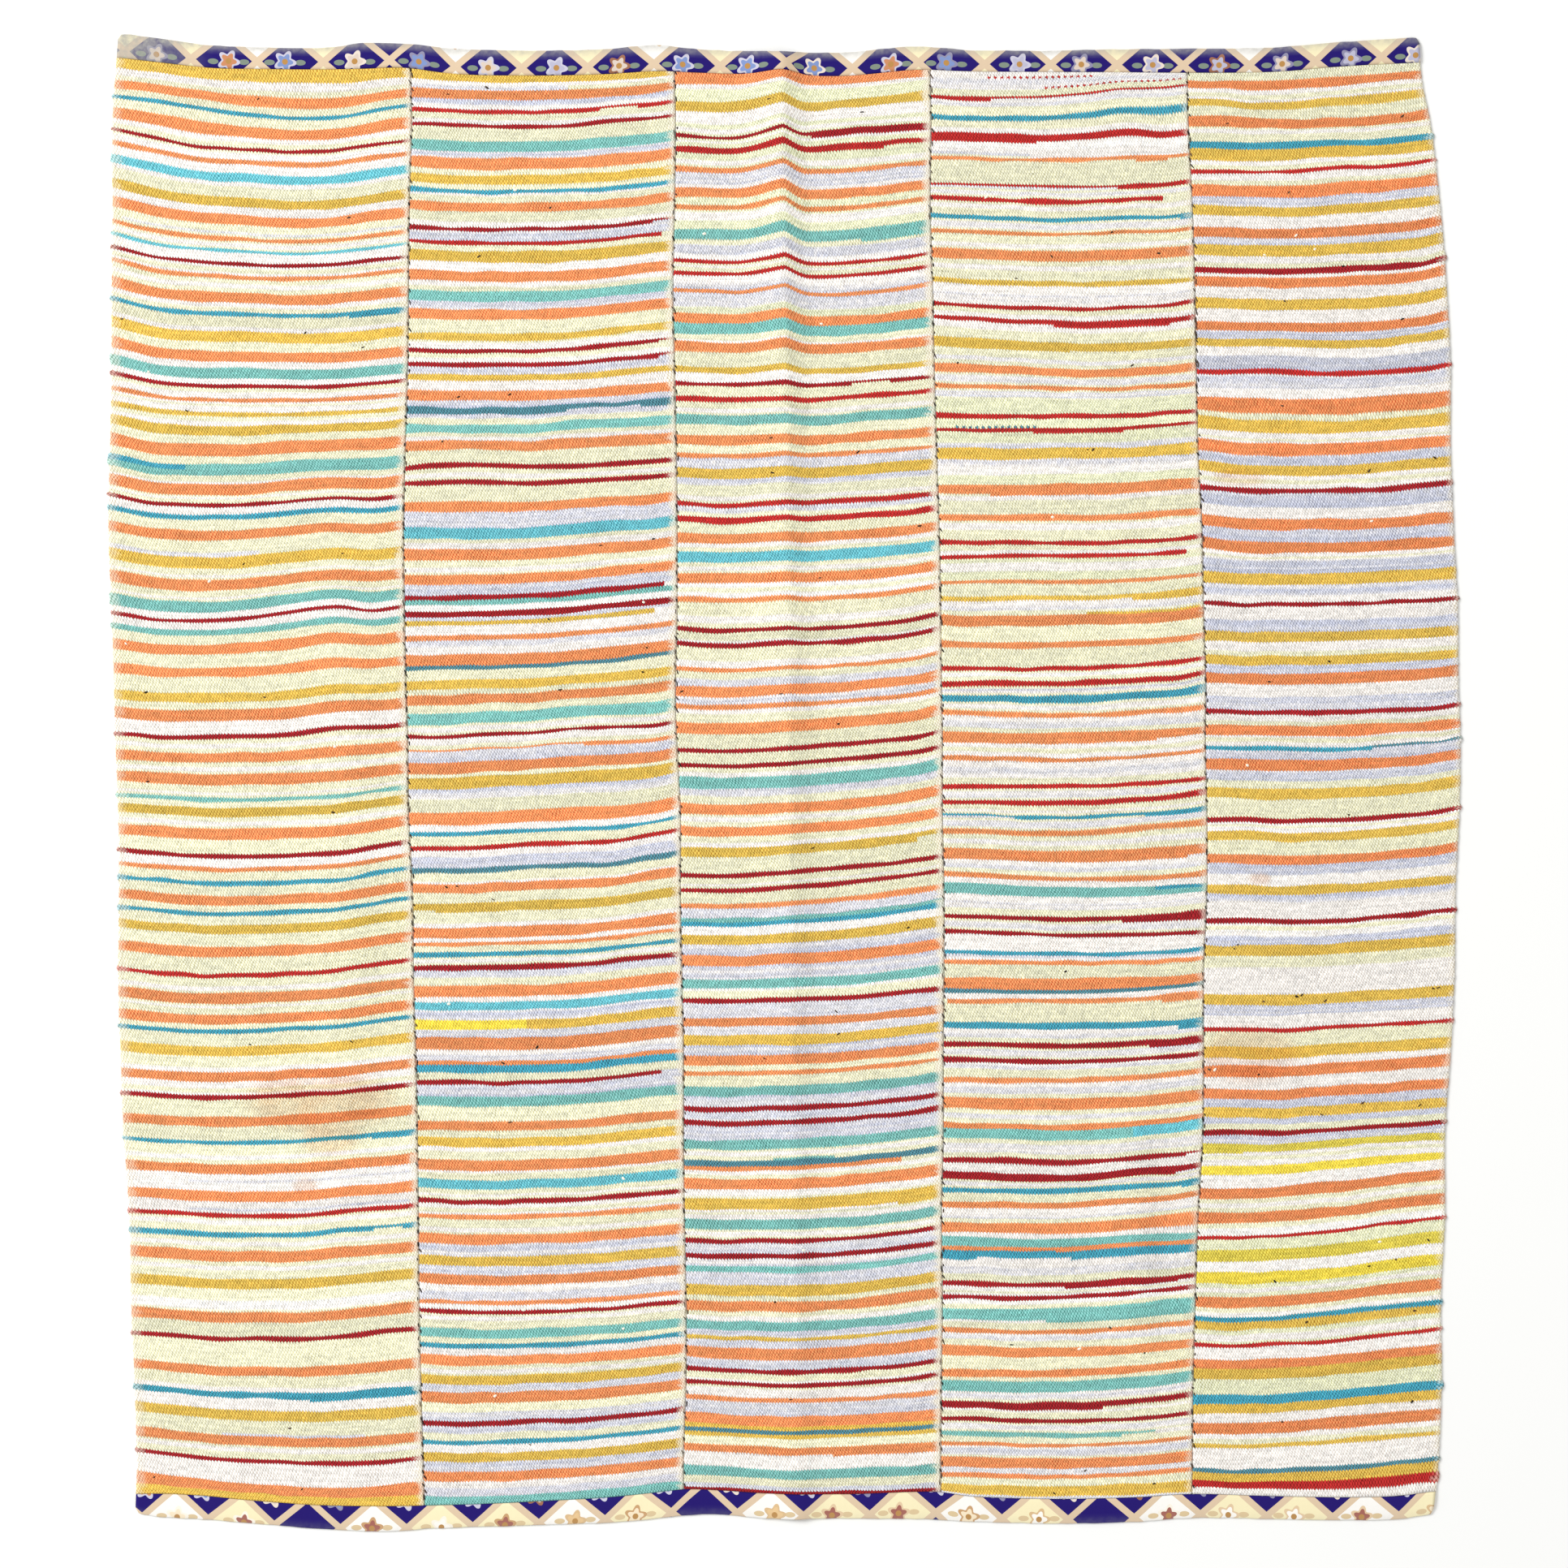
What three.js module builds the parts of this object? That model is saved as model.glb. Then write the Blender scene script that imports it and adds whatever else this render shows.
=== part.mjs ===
// A rag weave blanket: loom widths sewn edge to edge, with a printed cotton binding on each end.
// It lies spread out on its back face, with the soft ridges that folding has left in it.
// Millimetres, +Z up. X runs across the blanket, Y along it towards its top end, and Z = 0 is
// the surface it lies on. The origin is under the middle of the blanket.

import * as THREE from 'three';

const { lerp, smoothstep } = THREE.MathUtils;

// Cloth sizes
const WEAVE_THICK = 3;
const BINDING_THICK = 3.2;
const BINDING_RIM_THICK = 1.8;
const BINDING_RIM = 0.15;
const SEAM_GAP = 0.4;

// How finely the pieces are divided: the creased panel has more columns, for its crest
const PANEL_ROWS = 30;
const PANEL_COLUMNS = [10, 10, 20, 10, 10];
const BINDING_STEPS = [0, BINDING_RIM, 1 - BINDING_RIM, 1];
const END_TRIES = 4;

// Finishes
const WEAVE_COLOURS = [0xdcc6a4, 0xd8bfa2, 0xd6bda4, 0xd3bda8, 0xdcc8ae];
const BINDING_COLOUR = 0x4a3f78;
const CLOTH_ROUGHNESS = 0.95;

// The lines that run along the blanket: its two selvages, and the seams between the panels.
// A row gives how far each lies from the middle, at one place along the length.
const LONG_LINES = ['left', 'seam1', 'seam2', 'seam3', 'seam4', 'right'];
const SECTIONS = [
  { along: 918, left: -821, seam1: -460, seam2: -135, seam3: 180, seam4: 496, right: 782 },
  { along: 864, left: -825, seam1: -460, seam2: -135, seam3: 180, seam4: 497, right: 786 },
  { along: 814, left: -828, seam1: -459, seam2: -134, seam3: 181, seam4: 498, right: 796 },
  { along: 714, left: -828, seam1: -462, seam2: -135, seam3: 180, seam4: 503, right: 808 },
  { along: 614, left: -829, seam1: -463, seam2: -137, seam3: 183, seam4: 506, right: 816 },
  { along: 514, left: -829, seam1: -464, seam2: -135, seam3: 185, seam4: 508, right: 821 },
  { along: 414, left: -831, seam1: -467, seam2: -133, seam3: 188, seam4: 510, right: 821 },
  { along: 314, left: -833, seam1: -469, seam2: -132, seam3: 191, seam4: 515, right: 825 },
  { along: 214, left: -829, seam1: -468, seam2: -132, seam3: 193, seam4: 517, right: 830 },
  { along: 114, left: -826, seam1: -466, seam2: -134, seam3: 194, seam4: 520, right: 831 },
  { along: 64, left: -825, seam1: -464, seam2: -133, seam3: 195, seam4: 519, right: 833 },
  { along: -36, left: -821, seam1: -463, seam2: -128, seam3: 195, seam4: 521, right: 832 },
  { along: -136, left: -820, seam1: -458, seam2: -128, seam3: 197, seam4: 521, right: 827 },
  { along: -236, left: -821, seam1: -457, seam2: -126, seam3: 197, seam4: 517, right: 826 },
  { along: -336, left: -818, seam1: -454, seam2: -124, seam3: 196, seam4: 517, right: 821 },
  { along: -436, left: -814, seam1: -452, seam2: -124, seam3: 196, seam4: 516, right: 814 },
  { along: -536, left: -807, seam1: -451, seam2: -123, seam3: 194, seam4: 510, right: 814 },
  { along: -636, left: -805, seam1: -450, seam2: -121, seam3: 195, seam4: 507, right: 809 },
  { along: -736, left: -801, seam1: -448, seam2: -121, seam3: 194, seam4: 504, right: 810 },
  { along: -836, left: -798, seam1: -445, seam2: -124, seam3: 193, seam4: 503, right: 806 },
  { along: -906, left: -800, seam1: -443, seam2: -123, seam3: 193, seam4: 502, right: 799 },
];

// The two ends: where the binding is sewn to the weave, and the binding's own outer edge.
// Both wander, because the end was pulled between the seams as it was sewn.
const TOP_END = [
  { across: -821, sewn: 893, edge: 923 },
  { across: -767, sewn: 887, edge: 916 },
  { across: -707, sewn: 880.5, edge: 908 },
  { across: -637, sewn: 879, edge: 905.5 },
  { across: -567, sewn: 878.5, edge: 905 },
  { across: -517, sewn: 879.5, edge: 911 },
  { across: -467, sewn: 880.5, edge: 910 },
  { across: -407, sewn: 873, edge: 904 },
  { across: -317, sewn: 871, edge: 901.5 },
  { across: -227, sewn: 872.5, edge: 903 },
  { across: -155, sewn: 876.5, edge: 908.5 },
  { across: -117, sewn: 875, edge: 904 },
  { across: -47, sewn: 873, edge: 900.5 },
  { across: -2, sewn: 877, edge: 899.5 },
  { across: 33, sewn: 871, edge: 899 },
  { across: 83, sewn: 871, edge: 900 },
  { across: 163, sewn: 878, edge: 906.5 },
  { across: 233, sewn: 876, edge: 902 },
  { across: 333, sewn: 875.5, edge: 901.5 },
  { across: 433, sewn: 875, edge: 903.5 },
  { across: 508, sewn: 874.5, edge: 904 },
  { across: 603, sewn: 875.5, edge: 905.5 },
  { across: 683, sewn: 882, edge: 912 },
  { across: 781, sewn: 887, edge: 918 },
];
const BOTTOM_END = [
  { across: -800, sewn: -877, edge: -901 },
  { across: -767, sewn: -876.5, edge: -905 },
  { across: -717, sewn: -879, edge: -908 },
  { across: -667, sewn: -884, edge: -912 },
  { across: -617, sewn: -888, edge: -916 },
  { across: -567, sewn: -891, edge: -920 },
  { across: -491, sewn: -892, edge: -923 },
  { across: -437, sewn: -891, edge: -919.5 },
  { across: -367, sewn: -889, edge: -917 },
  { across: -267, sewn: -884, edge: -914 },
  { across: -217, sewn: -881, edge: -912 },
  { across: -167, sewn: -876, edge: -908 },
  { across: -121, sewn: -871, edge: -903 },
  { across: -87, sewn: -872, edge: -901.5 },
  { across: -17, sewn: -876, edge: -907 },
  { across: 83, sewn: -877, edge: -907 },
  { across: 183, sewn: -874, edge: -908 },
  { across: 233, sewn: -880, edge: -911 },
  { across: 333, sewn: -883, edge: -913 },
  { across: 433, sewn: -881, edge: -911 },
  { across: 503, sewn: -877, edge: -906 },
  { across: 583, sewn: -879, edge: -907 },
  { across: 683, sewn: -881, edge: -909 },
  { across: 753, sewn: -879.5, edge: -908 },
  { across: 797, sewn: -874, edge: -902 },
];

// Ridges where the cloth stands off the surface. Each runs along the blanket between two places,
// with its crest and its rise at both, its reach to either side, how round its crest is (1 is
// a point, 2 a dome), and the length over which it dies away. All else lies flat.
const FOLDS = [
  // the crease from folding the blanket in half, sharpest at the top end
  {
    from: 930, to: -930, crest: -3, toCrest: 18, rise: 10, toRise: 4,
    left: 75, right: 38, round: 1.3, fade: 1,
  },
  // a low swell in the first panel
  {
    from: 340, to: -640, crest: -534, toCrest: -546, rise: 4, toRise: 4,
    left: 60, right: 55, round: 2, fade: 250,
  },
  // a shorter one near the bottom of the fourth
  {
    from: -340, to: -740, crest: 424, toCrest: 436, rise: 5, toRise: 5,
    left: 55, right: 40, round: 2, fade: 120,
  },
];

// The value of one column of a table at any place, on a smooth curve through its rows
function readTable(rows, place, column, at) {
  const rising = rows[0][place] < rows[rows.length - 1][place];
  const ordered = rising ? rows : [...rows].reverse();
  const last = ordered.length - 1;
  const found = ordered.findIndex((row) => row[place] > at);
  if (found === 0) return ordered[0][column];
  if (found === -1) return ordered[last][column];
  const before = ordered[found - 1];
  const after = ordered[found];
  const slope = (i) => {
    const low = ordered[Math.max(i - 1, 0)];
    const high = ordered[Math.min(i + 1, last)];
    return (high[column] - low[column]) / (high[place] - low[place]);
  };
  const span = after[place] - before[place];
  const t = (at - before[place]) / span;
  const bend = t * t * (3 - 2 * t);
  return lerp(before[column], after[column], bend)
    + span * t * (1 - t) * ((1 - t) * slope(found - 1) - t * slope(found));
}

function foldHeight(across, along) {
  let height = 0;
  for (const fold of FOLDS) {
    const run = (fold.from - along) / (fold.from - fold.to);
    const offset = across - lerp(fold.crest, fold.toCrest, run);
    const away = Math.abs(offset) / (offset < 0 ? fold.left : fold.right);
    if (away >= 1 || run <= 0 || run >= 1) continue;
    const section = (1 - away ** fold.round) ** 2;
    const ends = smoothstep(fold.from - along, 0, fold.fade) * smoothstep(along - fold.to, 0, fold.fade);
    height += lerp(fold.rise, fold.toRise, run) * section * ends;
  }
  return height;
}

// Across a panel, u goes from its left line to its right line
function acrossAt(panel, u, along) {
  const left = readTable(SECTIONS, 'along', LONG_LINES[panel], along);
  const right = readTable(SECTIONS, 'along', LONG_LINES[panel + 1], along);
  return lerp(left, right, u);
}

// Where the line at u of a panel meets a line of one end. It is found in a few steps, because
// the end's place depends on how far across that is, and the other way round.
function alongAtEnd(end, column, panel, u) {
  let along = end[0][column];
  for (let step = 0; step < END_TRIES; step += 1) {
    along = readTable(end, 'across', column, acrossAt(panel, u, along));
  }
  return along;
}

// A closed sheet over a grid of back points: a front face, a back face and the rim between them.
// Columns run towards +X and rows towards -Y.
function sheetGeometry(columns, rows, backPoint, thickness) {
  const positions = [];
  for (const side of [0, 1]) {
    for (let row = 0; row <= rows; row += 1) {
      for (let column = 0; column <= columns; column += 1) {
        const point = backPoint(column, row);
        positions.push(point.x, point.y, point.z + side * thickness(row));
      }
    }
  }
  const at = (side, column, row) => (side * (rows + 1) + row) * (columns + 1) + column;
  const back = (column, row) => at(0, column, row);
  const front = (column, row) => at(1, column, row);
  const faces = [];
  const quad = (a, b, c, d) => faces.push(a, b, c, a, c, d);
  for (let row = 0; row < rows; row += 1) {
    for (let column = 0; column < columns; column += 1) {
      quad(front(column, row), front(column, row + 1), front(column + 1, row + 1), front(column + 1, row));
      quad(back(column, row), back(column + 1, row), back(column + 1, row + 1), back(column, row + 1));
    }
    quad(back(0, row), back(0, row + 1), front(0, row + 1), front(0, row));
    quad(back(columns, row + 1), back(columns, row), front(columns, row), front(columns, row + 1));
  }
  for (let column = 0; column < columns; column += 1) {
    quad(back(column + 1, 0), back(column, 0), front(column, 0), front(column + 1, 0));
    quad(back(column, rows), back(column + 1, rows), front(column + 1, rows), front(column, rows));
  }
  const geometry = new THREE.BufferGeometry();
  geometry.setAttribute('position', new THREE.Float32BufferAttribute(positions, 3));
  geometry.setIndex(faces);
  geometry.computeVertexNormals();
  return geometry;
}

const onFolds = (across, along) => new THREE.Vector3(across, along, foldHeight(across, along));

function clothMesh(name, geometry, colour) {
  const material = new THREE.MeshStandardMaterial({ color: colour, roughness: CLOTH_ROUGHNESS, metalness: 0 });
  const mesh = new THREE.Mesh(geometry, material);
  mesh.name = name;
  return mesh;
}

// One loom width, from sewn line to sewn line, drawn back a little from what it is sewn to
function wovenPanel(panel) {
  const columns = PANEL_COLUMNS[panel];
  const isFirst = panel === 0;
  const isLast = panel === PANEL_COLUMNS.length - 1;
  const backPoint = (column, row) => {
    const u = column / columns;
    const top = alongAtEnd(TOP_END, 'sewn', panel, u) - SEAM_GAP / 2;
    const bottom = alongAtEnd(BOTTOM_END, 'sewn', panel, u) + SEAM_GAP / 2;
    const along = lerp(top, bottom, row / PANEL_ROWS);
    let across = acrossAt(panel, u, along);
    if (column === 0 && !isFirst) across += SEAM_GAP / 2;
    if (column === columns && !isLast) across -= SEAM_GAP / 2;
    return onFolds(across, along);
  };
  const geometry = sheetGeometry(columns, PANEL_ROWS, backPoint, () => WEAVE_THICK);
  return clothMesh(`panel_${panel + 1}`, geometry, WEAVE_COLOURS[panel]);
}

// Every panel's columns in a row, each seam line once, so that a binding meets each panel's end
const endColumns = PANEL_COLUMNS.flatMap((columns, panel) => {
  const steps = Array.from({ length: columns }, (_, column) => ({ panel, u: column / columns }));
  return panel === PANEL_COLUMNS.length - 1 ? [...steps, { panel, u: 1 }] : steps;
});

// A folded strip of cotton along one end, full in its middle and thinner at its two edges.
// Outward is the way along the blanket that leads off it at that end.
function binding(name, end, outward) {
  const backPoint = (column, row) => {
    const { panel, u } = endColumns[column];
    const sewn = alongAtEnd(end, 'sewn', panel, u) + outward * SEAM_GAP / 2;
    const edge = alongAtEnd(end, 'edge', panel, u);
    const [upper, lower] = outward > 0 ? [edge, sewn] : [sewn, edge];
    const along = lerp(upper, lower, BINDING_STEPS[row]);
    return onFolds(acrossAt(panel, u, along), along);
  };
  const rows = BINDING_STEPS.length - 1;
  const thickness = (row) => (row === 0 || row === rows ? BINDING_RIM_THICK : BINDING_THICK);
  return clothMesh(name, sheetGeometry(endColumns.length - 1, rows, backPoint, thickness), BINDING_COLOUR);
}

const blanket = new THREE.Group();
PANEL_COLUMNS.forEach((_, panel) => blanket.add(wovenPanel(panel)));
blanket.add(binding('binding_top', TOP_END, 1));
blanket.add(binding('binding_bottom', BOTTOM_END, -1));

export default blanket;
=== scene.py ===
# %% [markdown]
# # A rag weave blanket, spread out flat
# The blanket is five narrow loom widths, sewn edge to edge by hand, with a strip of printed
# cotton folded over each raw end. The solids from CAD give its outline and its main folds.
# This lesson dresses them: a fine sheet for each loom width with one row of faces for each
# pass of the weft, a folded strip for each binding, and the sewing that holds them together.

# %% Load the frame
import math

import bpy
import numpy as np
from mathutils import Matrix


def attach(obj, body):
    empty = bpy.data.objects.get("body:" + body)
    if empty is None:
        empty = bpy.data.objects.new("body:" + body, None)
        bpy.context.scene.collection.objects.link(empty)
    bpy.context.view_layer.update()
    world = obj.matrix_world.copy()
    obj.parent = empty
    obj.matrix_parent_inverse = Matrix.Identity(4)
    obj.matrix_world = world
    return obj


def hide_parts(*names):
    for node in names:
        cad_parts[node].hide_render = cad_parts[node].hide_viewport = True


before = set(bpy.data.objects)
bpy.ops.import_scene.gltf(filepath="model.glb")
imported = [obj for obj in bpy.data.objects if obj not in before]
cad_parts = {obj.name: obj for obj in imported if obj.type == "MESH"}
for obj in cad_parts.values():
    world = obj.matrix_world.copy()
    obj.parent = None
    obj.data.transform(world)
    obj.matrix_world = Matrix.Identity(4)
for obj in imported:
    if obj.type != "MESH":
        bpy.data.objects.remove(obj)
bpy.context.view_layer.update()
scene = bpy.context.scene
MM = 0.001
BODY = "root"
print("CAD nodes:", ", ".join(sorted(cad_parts)))

# %% [markdown]
# ## Colours and nodes
# Blender's sockets take linear light, but a colour matched by eye is an sRGB value. One function
# turns the hex value into linear light, so that every colour below can be written as it looks.
# A second function adds a node to any tree: a number or colour goes on the socket itself, and
# a node or socket is linked to it.

# %% Two helpers
def linear(hex_colour):
    parts = [int(hex_colour[i:i + 2], 16) / 255 for i in (1, 3, 5)]
    light = [p / 12.92 if p <= 0.04045 else ((p + 0.055) / 1.055) ** 2.4 for p in parts]
    return (*light, 1.0)


def add_node(tree, kind, inputs=None, **settings):
    node = tree.nodes.new(kind)
    for name, value in settings.items():
        setattr(node, name, value)
    for socket, value in (inputs or {}).items():
        if isinstance(value, bpy.types.Node):
            value = value.outputs[0]
        if isinstance(value, bpy.types.NodeSocket):
            tree.links.new(value, node.inputs[socket])
        else:
            node.inputs[socket].default_value = value
    return node


# short names for the kinds of node that are used often
MATH = "ShaderNodeMath"
VECTOR = "ShaderNodeVectorMath"
MIX = "ShaderNodeMix"
NOISE = "ShaderNodeTexNoise"
ATTRIBUTE = "ShaderNodeAttribute"
RANGE = "ShaderNodeMapRange"
COMBINE = "ShaderNodeCombineXYZ"
SEPARATE = "ShaderNodeSeparateXYZ"
RANDOM = "FunctionNodeRandomValue"
print("cream in linear light:", [round(c, 3) for c in linear("#F6F2CF")[:3]])

# %% [markdown]
# ## Camera, floor and light
# The blanket is seen straight from above, so a long lens high up keeps its edges true. The floor
# is a plain pale sheet. Most of the light comes evenly from all round, as in a white studio,
# and one large soft lamp at the upper left shows the folds.

# %% Camera
VIEW_WIDE = 1.932
LENS = 85.0
SENSOR = 36.0
VIEW_MIDDLE = (-0.0005, -0.002)
CLOTH_TOP = 0.003

camera_data = bpy.data.cameras.new("camera")
camera_data.lens = LENS
camera_data.sensor_width = SENSOR
camera = bpy.data.objects.new("camera", camera_data)
camera.location = (*VIEW_MIDDLE, CLOTH_TOP + VIEW_WIDE * LENS / SENSOR)
scene.collection.objects.link(camera)
scene.camera = camera
scene.view_settings.view_transform = "Standard"
print("camera height:", round(camera.location.z, 3), "m")

# %% [markdown]
# Nothing here is glossy, so one function starts every material: it sets how rough and how
# dull it is, and hands back the tree for the pattern. The floor is the first to use it.

# %% Floor and light
FLOOR_HALF = 8.0
FLOOR_LEVEL = -0.0004
STUDIO_LIGHT = 0.69
LAMP_SIZE = 5.0
LAMP_POWER = 900
LAMP_AT = (-7.6, 4.0, 6.7)


def matt_material(name, roughness, specular):
    """A new material, with its node tree and its shader."""
    material = bpy.data.materials.new(name)
    material.use_nodes = True
    shader = material.node_tree.nodes["Principled BSDF"]
    shader.inputs["Roughness"].default_value = roughness
    shader.inputs["Specular IOR Level"].default_value = specular
    return material, material.node_tree, shader


floor_paint, _, floor_shader = matt_material("pale_matt_floor", 0.9, 0.1)
floor_shader.inputs["Base Color"].default_value = linear("#F8F8F6")

corners = [(-1, -1), (1, -1), (1, 1), (-1, 1)]
floor_mesh = bpy.data.meshes.new("floor")
floor_points = [(x * FLOOR_HALF, y * FLOOR_HALF, FLOOR_LEVEL) for x, y in corners]
floor_mesh.from_pydata(floor_points, [], [(0, 1, 2, 3)])
floor_mesh.materials.append(floor_paint)
floor = bpy.data.objects.new("floor", floor_mesh)
scene.collection.objects.link(floor)

world = bpy.data.worlds.new("studio")
scene.world = world
world.use_nodes = True
background = world.node_tree.nodes["Background"]
background.inputs["Color"].default_value = linear("#FFFFFF")
background.inputs["Strength"].default_value = STUDIO_LIGHT

lamp_data = bpy.data.lights.new("soft_lamp", "AREA")
lamp_data.shape = "DISK"
lamp_data.size = LAMP_SIZE
lamp_data.energy = LAMP_POWER
lamp = bpy.data.objects.new("soft_lamp", lamp_data)
lamp.location = LAMP_AT
lamp.rotation_mode = "QUATERNION"
lamp.rotation_quaternion = (-lamp.location).to_track_quat("-Z", "Y")
scene.collection.objects.link(lamp)
print("one soft lamp and an even white studio")

# %% [markdown]
# ## Where the cloth lies
# The long lines are the two selvages and the four seams, and the ends wander because they were
# pulled between the seams as they were sewn. These are the same rows, in millimetres from the
# middle, that shape the solids, so each sheet lies exactly on its solid. A smooth curve runs
# through each column of a table.

# %% Outline and folds
LONG_LINES = """
 918 -821 -460 -135 180 496 782    864 -825 -460 -135 180 497 786    814 -828 -459 -134 181 498 796
 714 -828 -462 -135 180 503 808    614 -829 -463 -137 183 506 816    514 -829 -464 -135 185 508 821
 414 -831 -467 -133 188 510 821    314 -833 -469 -132 191 515 825    214 -829 -468 -132 193 517 830
 114 -826 -466 -134 194 520 831     64 -825 -464 -133 195 519 833    -36 -821 -463 -128 195 521 832
-136 -820 -458 -128 197 521 827   -236 -821 -457 -126 197 517 826   -336 -818 -454 -124 196 517 821
-436 -814 -452 -124 196 516 814   -536 -807 -451 -123 194 510 814   -636 -805 -450 -121 195 507 809
-736 -801 -448 -121 194 504 810   -836 -798 -445 -124 193 503 806   -906 -800 -443 -123 193 502 799
"""
TOP_END = """
-821 893 923    -767 887 916    -707 880.5 908    -637 879 905.5    -567 878.5 905    -517 879.5 911
-467 880.5 910  -407 873 904    -317 871 901.5    -227 872.5 903    -155 876.5 908.5  -117 875 904
 -47 873 900.5    -2 877 899.5    33 871 899        83 871 900       163 878 906.5     233 876 902
 333 875.5 901.5 433 875 903.5   508 874.5 904     603 875.5 905.5   683 882 912       781 887 918
"""
BOTTOM_END = """
-800 -877 -901  -767 -876.5 -905  -717 -879 -908  -667 -884 -912  -617 -888 -916  -567 -891 -920
-491 -892 -923  -437 -891 -919.5  -367 -889 -917  -267 -884 -914  -217 -881 -912  -167 -876 -908
-121 -871 -903   -87 -872 -901.5   -17 -876 -907    83 -877 -907   183 -874 -908   233 -880 -911
 333 -883 -913   433 -881 -911     503 -877 -906   583 -879 -907   683 -881 -909   753 -879.5 -908
 797 -874 -902
"""


def table_of(text, columns):
    rows = np.array(text.split(), float).reshape(-1, columns)
    return rows[np.argsort(rows[:, 0])]


def smooth(places, values, at):
    """A curve through values at places, read at one place or at many."""
    low = np.maximum(np.arange(len(places)) - 1, 0)
    high = np.minimum(low + 2 - (np.arange(len(places)) == 0), len(places) - 1)
    slopes = (values[high] - values[low]) / (places[high] - places[low])
    at = np.clip(at, places[0], places[-1])
    i = np.clip(np.searchsorted(places, at, side="right") - 1, 0, len(places) - 2)
    span = places[i + 1] - places[i]
    t = (at - places[i]) / span
    bend = t * t * (3 - 2 * t)
    lean = span * t * (1 - t) * ((1 - t) * slopes[i] - t * slopes[i + 1])
    return values[i] + (values[i + 1] - values[i]) * bend + lean


long_lines = table_of(LONG_LINES, 7)
ends = {"top": table_of(TOP_END, 3), "bottom": table_of(BOTTOM_END, 3)}
SEWN = 1
EDGE = 2

# crest at the top and at the bottom, rise at both, reach left and right, roundness, from, to, fade
FOLDS = [
    (-3, 18, 10, 4, 75, 38, 1.3, 930, -930, 1),
    (-534, -546, 4, 4, 60, 55, 2, 340, -640, 250),
    (424, 436, 5, 5, 55, 40, 2, -340, -740, 120),
]


def ease(x):
    x = np.clip(x, 0, 1)
    return x * x * (3 - 2 * x)


def crest_of(fold, y):
    """How far across the crest of a fold lies, and the share of its run gone by."""
    crest, crest_end, start, stop = fold[0], fold[1], fold[7], fold[8]
    run = (start - y) / (start - stop)
    return crest + (crest_end - crest) * run, run


def fold_height(x, y):
    """How far the cloth's underside stands off the floor, in millimetres."""
    height = np.zeros(np.broadcast(x, y).shape)
    for fold in FOLDS:
        rise, rise_end, left, right, roundness, start, stop, fade = fold[2:]
        crest, run = crest_of(fold, y)
        off = x - crest
        away = np.clip(np.abs(off) / np.where(off < 0, left, right), 0, 1)
        dies = ease((start - y) / fade) * ease((y - stop) / fade)
        height += (rise + (rise_end - rise) * run) * (1 - away ** roundness) ** 2 * dies
    return height


def long_line(line, y):
    return smooth(long_lines[:, 0], long_lines[:, 1 + line], y)


def end_line(end, column, x):
    return smooth(ends[end][:, 0], ends[end][:, column], x)


crease_top = float(fold_height(np.array(-3.0), np.array(900.0)))
print("crest of the crease stands", round(crease_top, 1), "mm up")
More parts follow.
